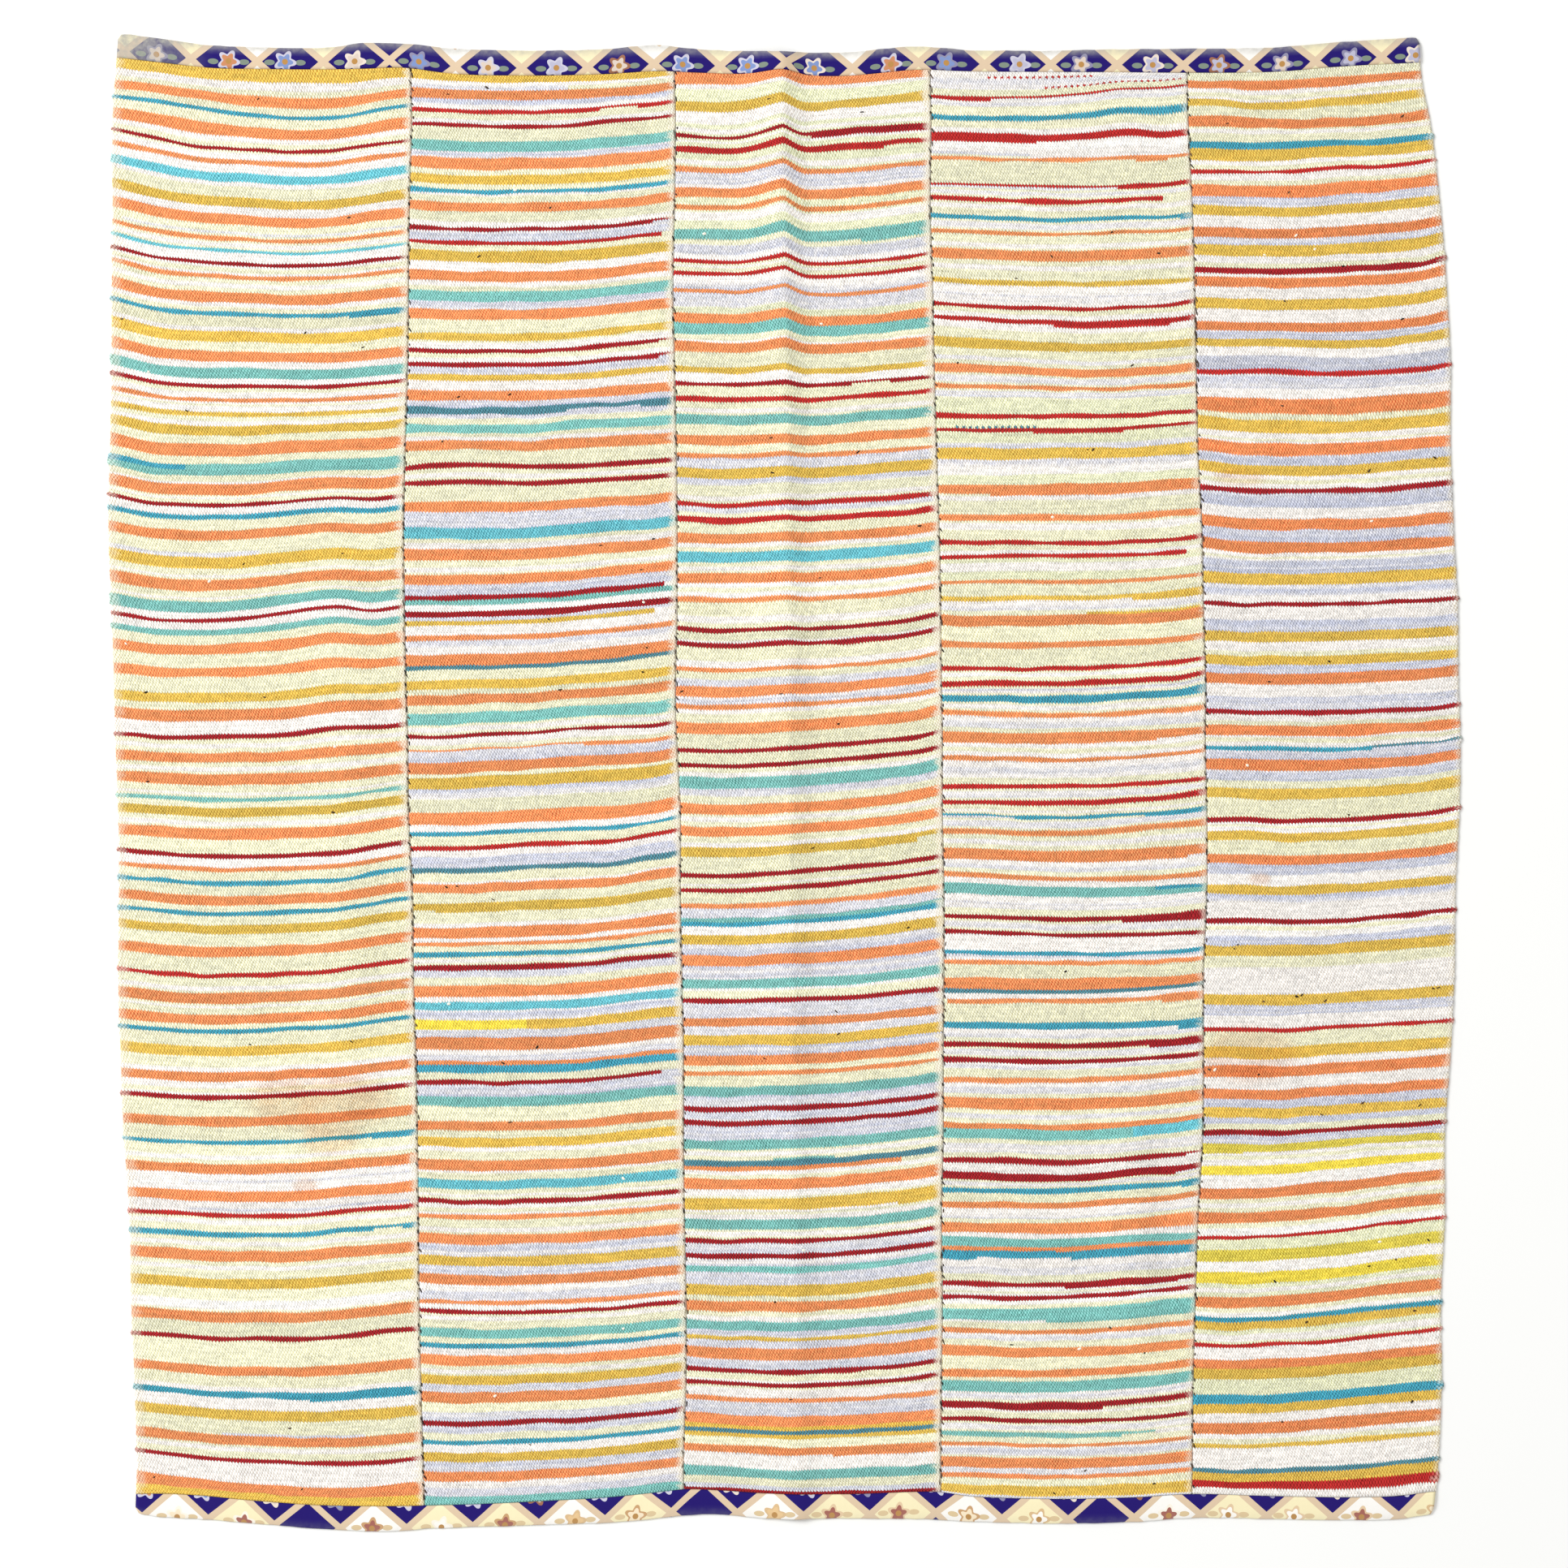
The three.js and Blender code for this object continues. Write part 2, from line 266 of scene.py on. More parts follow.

# %% [markdown]
# ## The stripes
# A weaver works from a list: so many millimetres of this rag, then so many of that. Each panel
# was woven to its own list, so the stripes don't meet at the seams. The lists were charted
# down the left edge of each panel. A number is where a stripe starts, in millimetres down
# from a line just above the blanket, and the letter is its yarn.

# %% The weaver's lists
YARNS = {
    "O": "#F3A46B", "G": "#EACA61", "Y": "#FBE95C", "R": "#CA3432", "D": "#AE272E", "T": "#8ECDC7",
    "Q": "#7CD1DD", "B": "#50AEC4", "S": "#5F98A6", "C": "#F4F3D9", "W": "#FBF8F4", "L": "#D3D7E7",
    "M": "#EBDC60", "P": "#EF9D65", "K": "#F0F2D5",
}
PLAIN_YARNS = "CWLK"
LILAC_WHITE = [0.45, 0.4, 0.45, 0.7, 0.25]
CHART_TOP = 964.0
CHART_LEFT = -966.5
STRIPES = [
    """71G 84W 98O 110C 117B 122C 133O 147C 158D 164W 173O 181W 191Q 203C 221G 234W 243O 257C 271O 278C
    288Q 292W 303D 309W 319O 326C 342O 356C 366B 373C 391G 405C 416O 430W 438T 452W 458D 465W 476O 483W
    494G 502C 512G 525C 535O 551C 560B 568T 576C 585O 600C 609D 615W 623B 631C 643O 656C 671L 676G 691C
    704O 719C 732T 747W 754D 760W 768T 777C 787O 801C 817O 830C 849G 862C 870O 885W 901D 908C 923O 936C
    949O 963C 977T 983C 989G 1001C 1014O 1028C 1044D 1051W 1060O 1067C 1077B 1084C 1095O 1108C 1114B
    1121C 1131G 1143C 1158O 1171C 1190R 1197C 1215O 1229C 1242O 1255C 1260B 1267C 1282G 1295C 1314O
    1327W 1343D 1350C 1370O 1383C 1399B 1405C 1428O 1441W 1461O 1475W 1488R 1495C 1511B 1519C 1534O
    1548C 1568G 1581C 1609O 1622C 1638D 1645C 1674O 1686C 1704B 1713W 1726G 1739C 1757O 1769C 1784D
    1789W 1811O 1828G 1841-""",
    """86G 97W 102L 107O 120L 126W 131R 138C 149D 155C 170T 184L 191O 206C 212G 224C 229B 236C 246O 258C
    270W 276D 283L 294R 299C 306G 321W 331O 345W 351C 356T 370L 379O 393C 409G 419W 428D 435C 445D 452L
    460G 469W 480O 493L 500S 510L 515C 522T 534W 543O 556C 572D 580C 592D 600C 618O 631L 649Q 664W 676O
    691C 708O 721L 733D 740T 747W 753D 762L 765G 772W 783O 791L 798W 807O 821S 827C 839G 851C 857O 870C
    879T 894C 905D 911W 923O 929L 940O 954C 958G 973L 985C 1001O 1017W 1024B 1031C 1042R 1049W 1057L
    1069S 1077C 1089O 1101C 1113G 1125C 1143O 1157W 1161O 1167C 1173B 1180C 1189D 1197L 1205C 1214O
    1229W 1234Q 1245L 1256G 1269L 1278O 1294W 1300L 1307O 1312B 1322C 1330D 1337L 1350T 1363C 1380O
    1392C 1400G 1412C 1427O 1441C 1451Q 1463C 1474D 1482W 1493O 1501C 1518O 1531L 1545G 1558L 1568O
    1581W 1589L 1599O 1606W 1611D 1618C 1635T 1647C 1653B 1660W 1668O 1681C 1693G 1705L 1714O 1728C
    1739L 1749D 1757L 1765C 1773B 1780W 1789G 1801L 1812O 1825W 1833L 1843T 1855-""",
    """90O 104W 109K 124G 137W 151K 164D 170K 179R 188K 204O 212L 226W 230O 243K 251O 259K 282T 295C 301L
    312W 318R 324C 333R 339W 347L 355O 361L 377K 385O 397T 411C 420O 433C 450G 459W 469D 476C 487R 495C
    510T 523C 535O 548C 557O 564L 575G 589L 596C 616R 624L 630C 635R 644C 656O 669C 679Q 693C 706O 719W
    734O 742C 771D 778C 789D 797C 820O 827C 835L 844O 858L 866O 874C 889O 904C 921D 928C 939D 946C 956T
    971L 980C 989O 1003C 1017O 1030C 1043G 1056C 1075D 1082C 1093D 1100C 1112O 1120L 1130T 1136B 1142W
    1151G 1164L 1176O 1190L 1206T 1218C 1229D 1237L 1254O 1265L 1275G 1289L 1300O 1313C 1319O 1326C
    1338T 1351L 1362D 1370L 1379D 1387L 1403T 1416C 1428S 1436O 1442C 1451O 1465W 1475G 1490W 1501T
    1514C 1524D 1531L 1542D 1550L 1558T 1567L 1581G 1595C 1601O 1614C 1625T 1637L 1643G 1649L 1657O
    1672L 1682D 1689C 1698D 1705W 1717O 1724L 1739O 1752G 1757S 1762G 1768C 1777O 1790W 1804T 1817C
    1827L 1833D 1837-""",
    """87L 116R 123L 132C 140B 148C 162R 174W 181L 191O 197C 224R 231L 240R 247C 262B 269L 281O 287C 305O
    318C 340G 348W 358L 367W 371R 377C 387R 394W 402C 413G 427C 431L 446O 458L 471O 478L 490K 508R 516K
    526R 532K 545L 551G 566L 575W 585K 597O 611C 633O 642W 652C 664R 672C 683R 690K 715O 721C 734G 741L
    757O 771C 789O 798C 819R 827C 839R 847L 856B 865C 874O 882L 901O 915W 930O 937L 966R 973L 985R 992C
    1002B 1007L 1020O 1028L 1044O 1058L 1073O 1081W 1087T 1101L 1125D 1132L 1144D 1151W 1169B 1176L
    1181O 1188C 1204O 1217S 1224W 1230O 1237C 1258B 1267L 1282D 1290L 1301D 1309L 1318C 1326O 1334L
    1351O 1366L 1382O 1390T 1403L 1425D 1433W 1442D 1453L 1462B 1470C 1479O 1488L 1505O 1518W 1523T
    1535O 1542B 1552L 1577D 1585W 1594D 1601C 1611T 1625C 1634O 1641L 1651C 1656O 1670C 1686O 1696C
    1700T 1714L 1725D 1735C 1744D 1751L 1762T 1769C 1775O 1781L 1794O 1808L 1814O 1821C 1829G 1842L
    1844-""",
    """88C 98P 109W 121G 131C 142P 156C 174B 183G 198W 208R 214W 227P 242L 252G 265W 279P 292L 300G 315W
    328D 337W 340P 353W 366G 380W 395P 407L 416G 427W 438L 454R 462L 477W 488P 505C 511G 528W 540P 555L
    566G 580W 596D 604L 620W 633P 647L 661P 676W 686L 703G 718L 731W 739D 746W 762L 776G 789W 805G 818L
    828P 842W 857L 872D 880W 892P 906W 918B 925L 934P 948L 960C 969G 983C 1006D 1014W 1024G 1036C 1052P
    1064L 1076W 1089G 1101L 1110W 1131D 1139W 1154L 1164G 1178C 1192W 1225G 1239L 1251W 1265R 1272C
    1289G 1304W 1312P 1327W 1341P 1354L 1364G 1377L 1384C 1391D 1399L 1408M 1422W 1437Y 1449W 1464P
    1478C 1494P 1508W 1522R 1528K 1540M 1555W 1567Y 1582K 1597P 1611W 1621B 1628G 1638K 1654R 1660W
    1674P 1686G 1700K 1718B 1730G 1742W 1753P 1767C 1778G 1785W 1808S 1814G 1824R 1834W 1842-""",
]
for number, text in enumerate(STRIPES, 1):
    print("panel", number, "has", len(text.split()) - 1, "stripes")

# %% [markdown]
# ## How the weft bows
# Rag weft is beaten in by hand, and narrow panels pull at each other where they are sewn, so
# no stripe runs straight. Each row gives a place down the left edge, then how many
# millimetres lower the same weft lies at seven places across. The third panel is also drawn
# up along its crease, by the amounts in a table of its own.

# %% Bow tables
BOW_AT = np.array([0, 0.15, 0.30, 0.45, 0.60, 0.75, 0.90, 1.0])
BOWS = [
    """71 6 13 15 17 18 14 11     117 5 14 22 26 25 15 10    158 9 20 23 26 24 16 12
    220 10 19 22 26 24 16 11   305 11 16 20 22 20 14 10   416 11 16 16 18 18 13 10
    494 8 12 13 13 12 9 5      535 9 12 12 8 6 4 0        609 8 10 10 6 2 3 -2
    704 7 10 9 3 -2 -1 -4      754 6 8 5 -2 -9 -5 -10     849 4 4 4 1 -6 -7 -10
    901 4 4 3 0 -8 -9 -13      949 2 4 4 3 0 -6 -10       1044 4 8 8 6 4 -5 -11
    1190 6 9 8 6 2 -7 -11      1343 4 6 5 2 -1 -7 -11     1488 3 6 7 6 0 -3 -7
    1638 4 8 8 8 4 -2 -5       1784 6 11 14 16 16 13 9    1811 8 14 18 21 21 18 14
    1841 1 4 9 13 15 15 13""",
    """107 2 3 3 2 0 -4 -9        150 2 4 4 3 -3 -6 -10      229 3 4 3 2 0 -5 -10
    331 2 3 3 2 -2 -8 -11      428 1 1 1 -1 -6 -11 -14    480 1 1 1 0 -3 -8 -11
    522 1 1 1 -4 -7 -9 -11     572 -3 -3 -1 -2 -4 -7 -10  649 1 1 0 -4 -8 -10 -16
    733 0 -1 -3 -6 -11 -16 -19 821 -1 -2 -3 -6 -10 -16 -21 905 0 -4 -5 -10 -12 -14 -19
    1024 0 -1 -4 -6 -8 -14 -22 1042 0 -2 -6 -7 -9 -18 -24 1189 0 -1 -2 -4 -9 -15 -18
    1330 0 1 0 -2 -7 -13 -15   1474 3 3 1 0 -4 -8 -11     1611 2 3 2 0 -3 -8 -11
    1749 2 0 -2 -3 -8 -13 -18  1843 1 0 -2 -5 -9 -15 -18""",
    """124 1 1 1 0 -4 -9 -13      164 3 2 0 -5 -9 -12 -13    204 2 3 4 3 0 -5 -8
    282 0 1 2 2 -2 -8 -12      318 2 3 4 4 1 -4 -10       355 1 3 4 5 3 -3 -9
    450 2 2 3 3 0 -4 -8        487 1 2 3 1 -4 -7 -10      535 1 1 2 0 -4 -7 -10
    616 3 2 1 -2 -5 -9 -12     706 0 0 0 -3 -6 -11 -16    771 3 2 1 -1 -5 -11 -18
    921 1 0 -3 -7 -11 -16 -24  989 2 1 -1 -4 -9 -16 -23   1075 1 -1 -5 -9 -13 -19 -25
    1151 1 0 -3 -6 -12 -19 -24 1229 1 0 -2 -3 -7 -12 -16  1300 0 -1 -2 -4 -9 -14 -18
    1379 2 0 -2 -4 -8 -13 -19  1428 1 1 -1 -3 -8 -13 -18  1524 2 1 1 -1 -5 -11 -16
    1601 2 2 2 0 -5 -11 -16    1682 3 5 5 3 0 -5 -10      1739 3 5 5 4 2 -1 -4
    1804 2 5 7 5 3 1 0         1833 3 5 6 6 6 3 -3""",
    """140 2 2 1 -3 -9 -10 -14    162 1 2 3 1 -4 -1 -4       224 1 3 4 4 3 -1 -5
    262 2 4 6 5 2 2 -2         305 1 3 4 3 1 -1 -5        340 3 5 6 6 5 3 1
    371 3 5 6 7 4 2 -4         413 3 6 8 10 9 6 3         446 2 4 7 9 7 3 0
    508 1 1 1 1 0 -3 -5        526 1 1 0 0 -2 -6 -9       551 0 1 0 0 -1 -4 -7
    597 1 0 -1 -2 -4 -7 -9     633 0 0 0 0 -2 -6 -8       664 1 1 2 2 0 -3 -8
    683 -1 -2 -2 -2 -3 -6 -10  734 0 -1 -1 -1 -4 -8 -12   757 1 1 0 -1 -2 -5 -10
    819 1 2 1 0 -3 -7 -12      839 -1 -1 -1 -3 -5 -9 -15  856 0 0 0 -2 -5 -8 -15
    874 1 3 4 3 -1 -4 -7       901 1 2 1 0 -2 -4 -7       930 1 2 4 2 -1 -5 -10
    966 -1 -1 -1 -2 -4 -7 -10  985 0 0 0 -1 -4 -8 -13     1002 1 3 3 2 -1 -5 -10
    1020 0 3 3 1 -5 -9 -13     1044 1 4 4 3 0 -3 -5       1073 1 4 6 6 5 2 -4
    1087 1 4 5 6 5 2 0         1125 1 3 4 4 1 -2 -6       1144 1 3 5 5 4 3 2
    1169 1 2 3 4 2 0 -4        1204 0 1 1 0 0 -2 -6       1217 1 3 3 2 0 -4 -10
    1230 0 -1 -1 -1 -3 -8 -11  1258 1 2 1 1 0 -2 -5       1282 1 2 3 2 0 -4 -7
    1301 1 3 3 2 0 -3 -7       1326 1 1 1 0 -3 -7 -12     1351 1 2 2 1 -1 -6 -10
    1390 1 2 3 1 -3 -7 -12     1425 0 1 3 1 -3 -6 -10     1442 2 4 5 2 -4 -6 -11
    1462 1 2 2 -1 -5 -7 -13    1505 1 1 2 -1 -5 -10 -14   1523 1 3 3 1 -2 -4 -6
    1542 1 2 1 -2 -6 -8 -10    1577 1 3 2 0 -4 -6 -10     1611 1 2 0 -2 -6 -11 -14
    1634 2 4 4 2 -2 -6 -9      1656 2 4 4 3 0 -4 -7       1686 1 1 1 -1 -4 -9 -13
    1725 1 3 2 1 -2 -7 -12     1744 1 3 4 3 1 -3 -7       1794 1 2 3 2 0 -4 -7
    1829 0 1 2 1 -2 -5 -7""",
    """98 0 1 0 -2 -6 -10 -12     121 1 5 3 -1 -5 -9 -12     142 0 3 5 3 1 -4 -9
    174 1 1 -1 -2 -4 -7 -10    208 0 1 -1 -5 -6 -10 -15   252 1 2 3 -1 -4 -9 -13
    328 1 2 1 -1 -3 -7 -15     395 1 2 3 2 0 -6 -14       454 0 -1 2 3 0 -4 -9
    488 2 3 3 2 0 -4 -8        511 5 6 7 7 4 0 -4         540 4 6 6 4 2 -2 -5
    566 6 8 8 6 2 -2 -5        596 4 5 5 4 2 -3 -6        633 5 6 6 6 4 0 -3
    661 6 7 6 6 4 1 -1         703 3 4 4 2 0 -3 -6        739 3 2 2 1 -1 -3 -6
    776 2 2 2 1 -1 -3 -6       805 3 3 3 1 -1 -3 -6       828 1 2 1 -1 -3 -6 -9
    872 2 2 2 1 -1 -3 -8       892 1 2 2 0 -2 -5 -8       918 0 0 2 1 -3 -6 -11
    934 1 2 2 0 -2 -6 -12      969 2 3 2 0 -3 -8 -14      1006 0 2 1 -1 -4 -8 -15
    1024 -1 2 1 -1 -5 -11 -16  1052 0 2 1 -1 -5 -10 -15   1089 1 3 1 -1 -5 -9 -12
    1131 -1 1 1 -2 -6 -11 -14  1164 0 0 -1 -4 -7 -12 -15  1225 0 0 -1 -4 -6 -10 -12
    1265 0 1 -2 -4 -6 -9 -11   1312 0 1 -2 -5 -8 -11 -13  1341 1 1 -2 -5 -7 -11 -13
    1391 0 1 -1 -4 -7 -10 -12  1408 1 2 -2 -6 -9 -12 -13  1437 -1 -2 -5 -9 -13 -16 -17
    1464 0 -2 -6 -10 -16 -21 -24 1494 0 -2 -5 -9 -16 -22 -24 1522 0 -2 -5 -10 -16 -22 -26
    1567 0 -1 -4 -8 -14 -20 -23 1597 1 -1 -4 -8 -14 -20 -23 1621 2 0 -4 -9 -14 -18 -20
    1654 2 -1 -2 -6 -11 -16 -20 1718 0 0 -3 -7 -11 -15 -18 1753 0 -1 -4 -8 -12 -16 -18
    1778 1 0 -3 -6 -10 -14 -16 1808 2 1 -1 -4 -7 -12 -15  1824 2 2 0 -2 -5 -10 -13""",
]
# the stripes were charted a little in from the edge, at these places across
READ_AT = [150, 512, 842, 1158, 1480]
FARTHEST_READ = 0.06
CREASED = 2
CREASE_SHARPNESS = 1.3
CREASE_DRAW = table_of("""90 10  164 11  204 13  282 12  318 10.5  355 9.5  450 6  487 3.5  535 3
    616 3  706 2  771 2.5  921 0  1860 0""", 2)
CREASE_DRAW_LEFT = 64
CREASE_DRAW_RIGHT = 30


def bow(panel, starts, u):
    """How far each weft lies below its left end: a row for each start, a column for each u."""
    rows = table_of(BOWS[panel], 8)
    left = long_line(panel, CHART_TOP - rows[:, 0])
    wide = long_line(panel + 1, CHART_TOP - rows[:, 0]) - left
    read_at = np.clip((READ_AT[panel] + CHART_LEFT - left) / wide, 0, FARTHEST_READ)
    at_edge = -rows[:, 1] * read_at / (BOW_AT[1] - read_at)
    lines = [np.array([edge, *row[1:]]) for edge, row in zip(at_edge, rows)]
    across = np.array([smooth(BOW_AT, line, u) for line in lines])
    return np.array([np.interp(starts, rows[:, 0], column) for column in across.T]).T


print("readings of bow in each panel:", [len(table_of(text, 8)) for text in BOWS])

# %% [markdown]
# ## From stripes to picks
# One pass of the weft is a pick. The weave is packed so tightly that only the weft shows, as
# rows of small beads. A pick is about 2.75 mm high, so each stripe becomes a whole number of
# picks, and a pick becomes one row of faces. Rag strips run out in the middle of a row, and
# the next one laps over it, so a stripe may grow, thin out or change colour part of the way.

# %% Picks and joins
PICK = 2.75
# the chart was read to the tips of the saw teeth, so a coloured stripe is a little narrower
INSET = 0.4
THIN_INSET = 0.7
THIN_WIDE = 10
THREAD_INSET = 0.1
THREAD_WIDE = 6
# plain rag is cream in one strip and white in the next, and panel 4 has only lines of lilac
MIXED_FROM = 4
MIXED_SHARE = 0.6
MIXED_RUN = (0.25, 0.45)
LILAC_LINES = 3
LILAC_OVER_WHITE = 0.35
# panel, place down the left edge, from, to, and the change: a yarn letter for the whole stripe,
# + or - and a number of picks, or a small letter for one pick of that yarn
DOTTED = "rs"
LOOK_INTO = 1.5
JOINS = """
1 560 230 520 T  1 671 320 520 C  1 366 430 510 +1  1 1399 460 520 +1  1 1511 462 496 -1
1 1704 380 520 +1  1 265 150 500 l  1 1449 230 510 l  1 1482 230 510 l  1 1755 275 450 l
2 102 700 840 C  2 131 740 785 -1  2 276 803 840 -1  2 294 815 840 C  2 428 812 840 -1
2 445 812 840 -1  2 500 700 790 -1  2 733 820 842 W  2 765 805 842 W  2 923 500 720 -1
2 1113 500 537 -1  2 1256 500 650 Y  2 1330 815 845 L  3 164 1000 1155 +1  3 179 1090 1155 -1
3 282 1060 1155 +1  3 469 1050 1095 -1  3 1043 1128 1165 -2  3 1436 1110 1165 C  3 1475 1107 1165 +1
3 1777 840 1025 -1  3 1425 955 1030 t  4 93 1215 1348 r  4 105 1282 1460 r  4 116 1220 1475 -1
4 162 1275 1475 -1  4 181 1270 1475 W  4 191 1400 1440 +1  4 224 1145 1377 -1  4 240 1433 1475 C
4 262 1455 1480 +1  4 387 1297 1440 +1  4 413 1320 1480 -1  4 526 1275 1385 +1  4 597 1150 1220 -1
4 683 1463 1485 C  4 734 1395 1485 +1  4 901 1425 1490 -1  4 524 1175 1275 s  4 754 1340 1480 g
4 1002 1410 1490 +1  4 1044 1462 1490 -1  4 1230 1430 1490 +1  4 1390 1395 1490 Q
4 1425 1460 1490 -1  4 1462 1455 1490 +1  4 1535 1158 1300 -1  4 1542 1205 1320 -1
4 1611 1290 1490 +1  4 1002 1158 1250 -1  4 1125 1382 1490 +1  4 1258 1450 1490 +2
4 1282 1415 1490 +1  4 1442 1450 1485 -1  4 1577 1312 1450 +1  4 1087 1425 1483 b
4 1090 1425 1483 b  4 1725 1360 1475 -1  4 1762 1380 1425 -1  4 1762 1425 1475 W  4 1230 1150 1168 C
5 918 1690 1810 S  5 918 1690 1810 -1  5 1408 1533 1790 -1
"""
rng = np.random.default_rng(7)


def picks_of(panel):
    """Where each pick starts and ends down the left edge, and the number of its stripe."""
    marks = STRIPES[panel].split()
    starts = [float(mark[:-1]) for mark in marks]
    plain = [mark[-1] in PLAIN_YARNS for mark in marks]
    stripes_wide = np.diff(starts)
    for k in range(1, len(marks) - 1):
        if plain[k] != plain[k - 1]:
            rag = k if plain[k - 1] else k - 1
            wide = stripes_wide[rag]
            inset = THREAD_INSET if wide < THREAD_WIDE else THIN_INSET if wide < THIN_WIDE else INSET
            starts[k] += inset if rag == k else -inset
    bounds = [starts[0]]
    stripe_of = []
    for stripe, (start, stop) in enumerate(zip(starts, starts[1:])):
        count = max(2, round((stop - start) / PICK))
        bounds += list(start + (stop - start) * np.arange(1, count + 1) / count)
        stripe_of += [stripe] * count
    return np.array(bounds), np.array(stripe_of), [mark[-1] for mark in marks[:-1]]


def yarn_grid(panel, bounds, stripe_of, yarns, x_middle):
    """The yarn of every face: a row for each pick, a column for each step across."""
    grid = np.array([[yarns[s]] * x_middle.shape[1] for s in stripe_of])
    for stripe, letter in enumerate(yarns):
        rows = np.flatnonzero(stripe_of == stripe)
        if len(rows) < MIXED_FROM or letter not in PLAIN_YARNS:
            continue
        if letter == "L" and panel == LILAC_LINES:
            grid[rows[:len(rows) // 3]] = "W" if rng.random() < LILAC_OVER_WHITE else "C"
            grid[rows[-(len(rows) // 3):]] = "C"
        elif letter != "L" and rng.random() < MIXED_SHARE:
            run = max(1, round(len(rows) * rng.uniform(*MIXED_RUN)))
            first = rng.integers(0, len(rows) - run + 1)
            grid[rows[first:first + run]] = "C" if letter == "W" else "W"
    joins = np.array(JOINS.split()).reshape(-1, 5)
    for _, place, start, stop, change in joins[joins[:, 0] == str(panel + 1)]:
        pick = np.searchsorted(bounds, float(place) + LOOK_INTO) - 1
        pick = int(np.clip(pick, 0, len(stripe_of) - 1))
        rows = np.flatnonzero(stripe_of == stripe_of[pick])
        at = x_middle[pick] - CHART_LEFT
        columns = (at > float(start)) & (at < float(stop))
        if change[0] == "+":
            grid[rows[-1] + 1:rows[-1] + 1 + int(change), columns] = yarns[stripe_of[pick]]
        elif change[0] == "-":
            below = yarns[min(stripe_of[pick] + 1, len(yarns) - 1)]
            grid[rows[-1] + 1 + int(change):rows[-1] + 1, columns] = below
        elif change.islower():
            dotted = columns & (np.arange(len(columns)) % 2 == 0) if change in DOTTED else columns
            grid[pick, dotted] = change.upper()
        else:
            grid[np.ix_(rows, np.flatnonzero(columns))] = change
    return grid


print("picks in each panel:", [len(picks_of(p)[1]) for p in range(5)])

# %% [markdown]
# ## A loom width as a sheet
# The sheet is a closed grid: a fine front, a coarser back that lies on the floor, and a rim.
# Every stripe is a little rounded and each pick has slubs, so the front has real relief. The
# small beads of the weave would need millions of faces, so they stay in the material. At the
# blanket's two outer edges the weft turns back in loops, and those of the thin rags stand out.

# %% Panel builder
COLUMN = 4.0
BACK_SKIP = 6
WEAVE_THICK = 3.0
SEAM_GAP = 0.4
BEAD = 3.7
STRIPE_ROUND = 0.35
SLUB = 0.16
SLUB_RUN = 30.0
WOBBLE = 0.5
WOBBLE_RUN = 26.0
SELVAGE_ROUND = 2.6
SELVAGE_PALE = [0.72, 0.76, 0.8, 0.5, 0.5]
SELVAGE_WIDE = [10.0, 10.0, 10.5, 8.5, 7.0]
END_FADE = 34.0
RIM_STEPS = np.array([0, 0.9, 2.2])
THIN_RAGS = "DRBTQS"
THIN_LOOP = (1.2, 3.4)
SMALL_LOOP = 0.45
LOOP_RUN = 9
SEAM_RAGGED = 0.16
FRONT_SINK = 0.3
LEFT_PALE = 0.38
LEFT_WIDE = 12
SELVAGE_RAGGED = 2.2
STRIPE_SHADE = 0.035
BIT_SHADE = 0.03
# place across and down the chart, half width, half height and depth of each stain
STAINS = [
    (394, 1356, 92, 40, 0.7),
    (406, 1398, 38, 26, 0.66),
    (376, 1462, 16, 12, 0.6),
    (1540, 1300, 62, 36, 0.55),
    (1530, 588, 34, 12, 0.5),
    (1552, 1083, 14, 8, 0.6),
]


def between(values):
    """Values for picks, moved to the lines between the picks."""
    return np.concatenate([values[:1], (values[1:] + values[:-1]) / 2, values[-1:]])


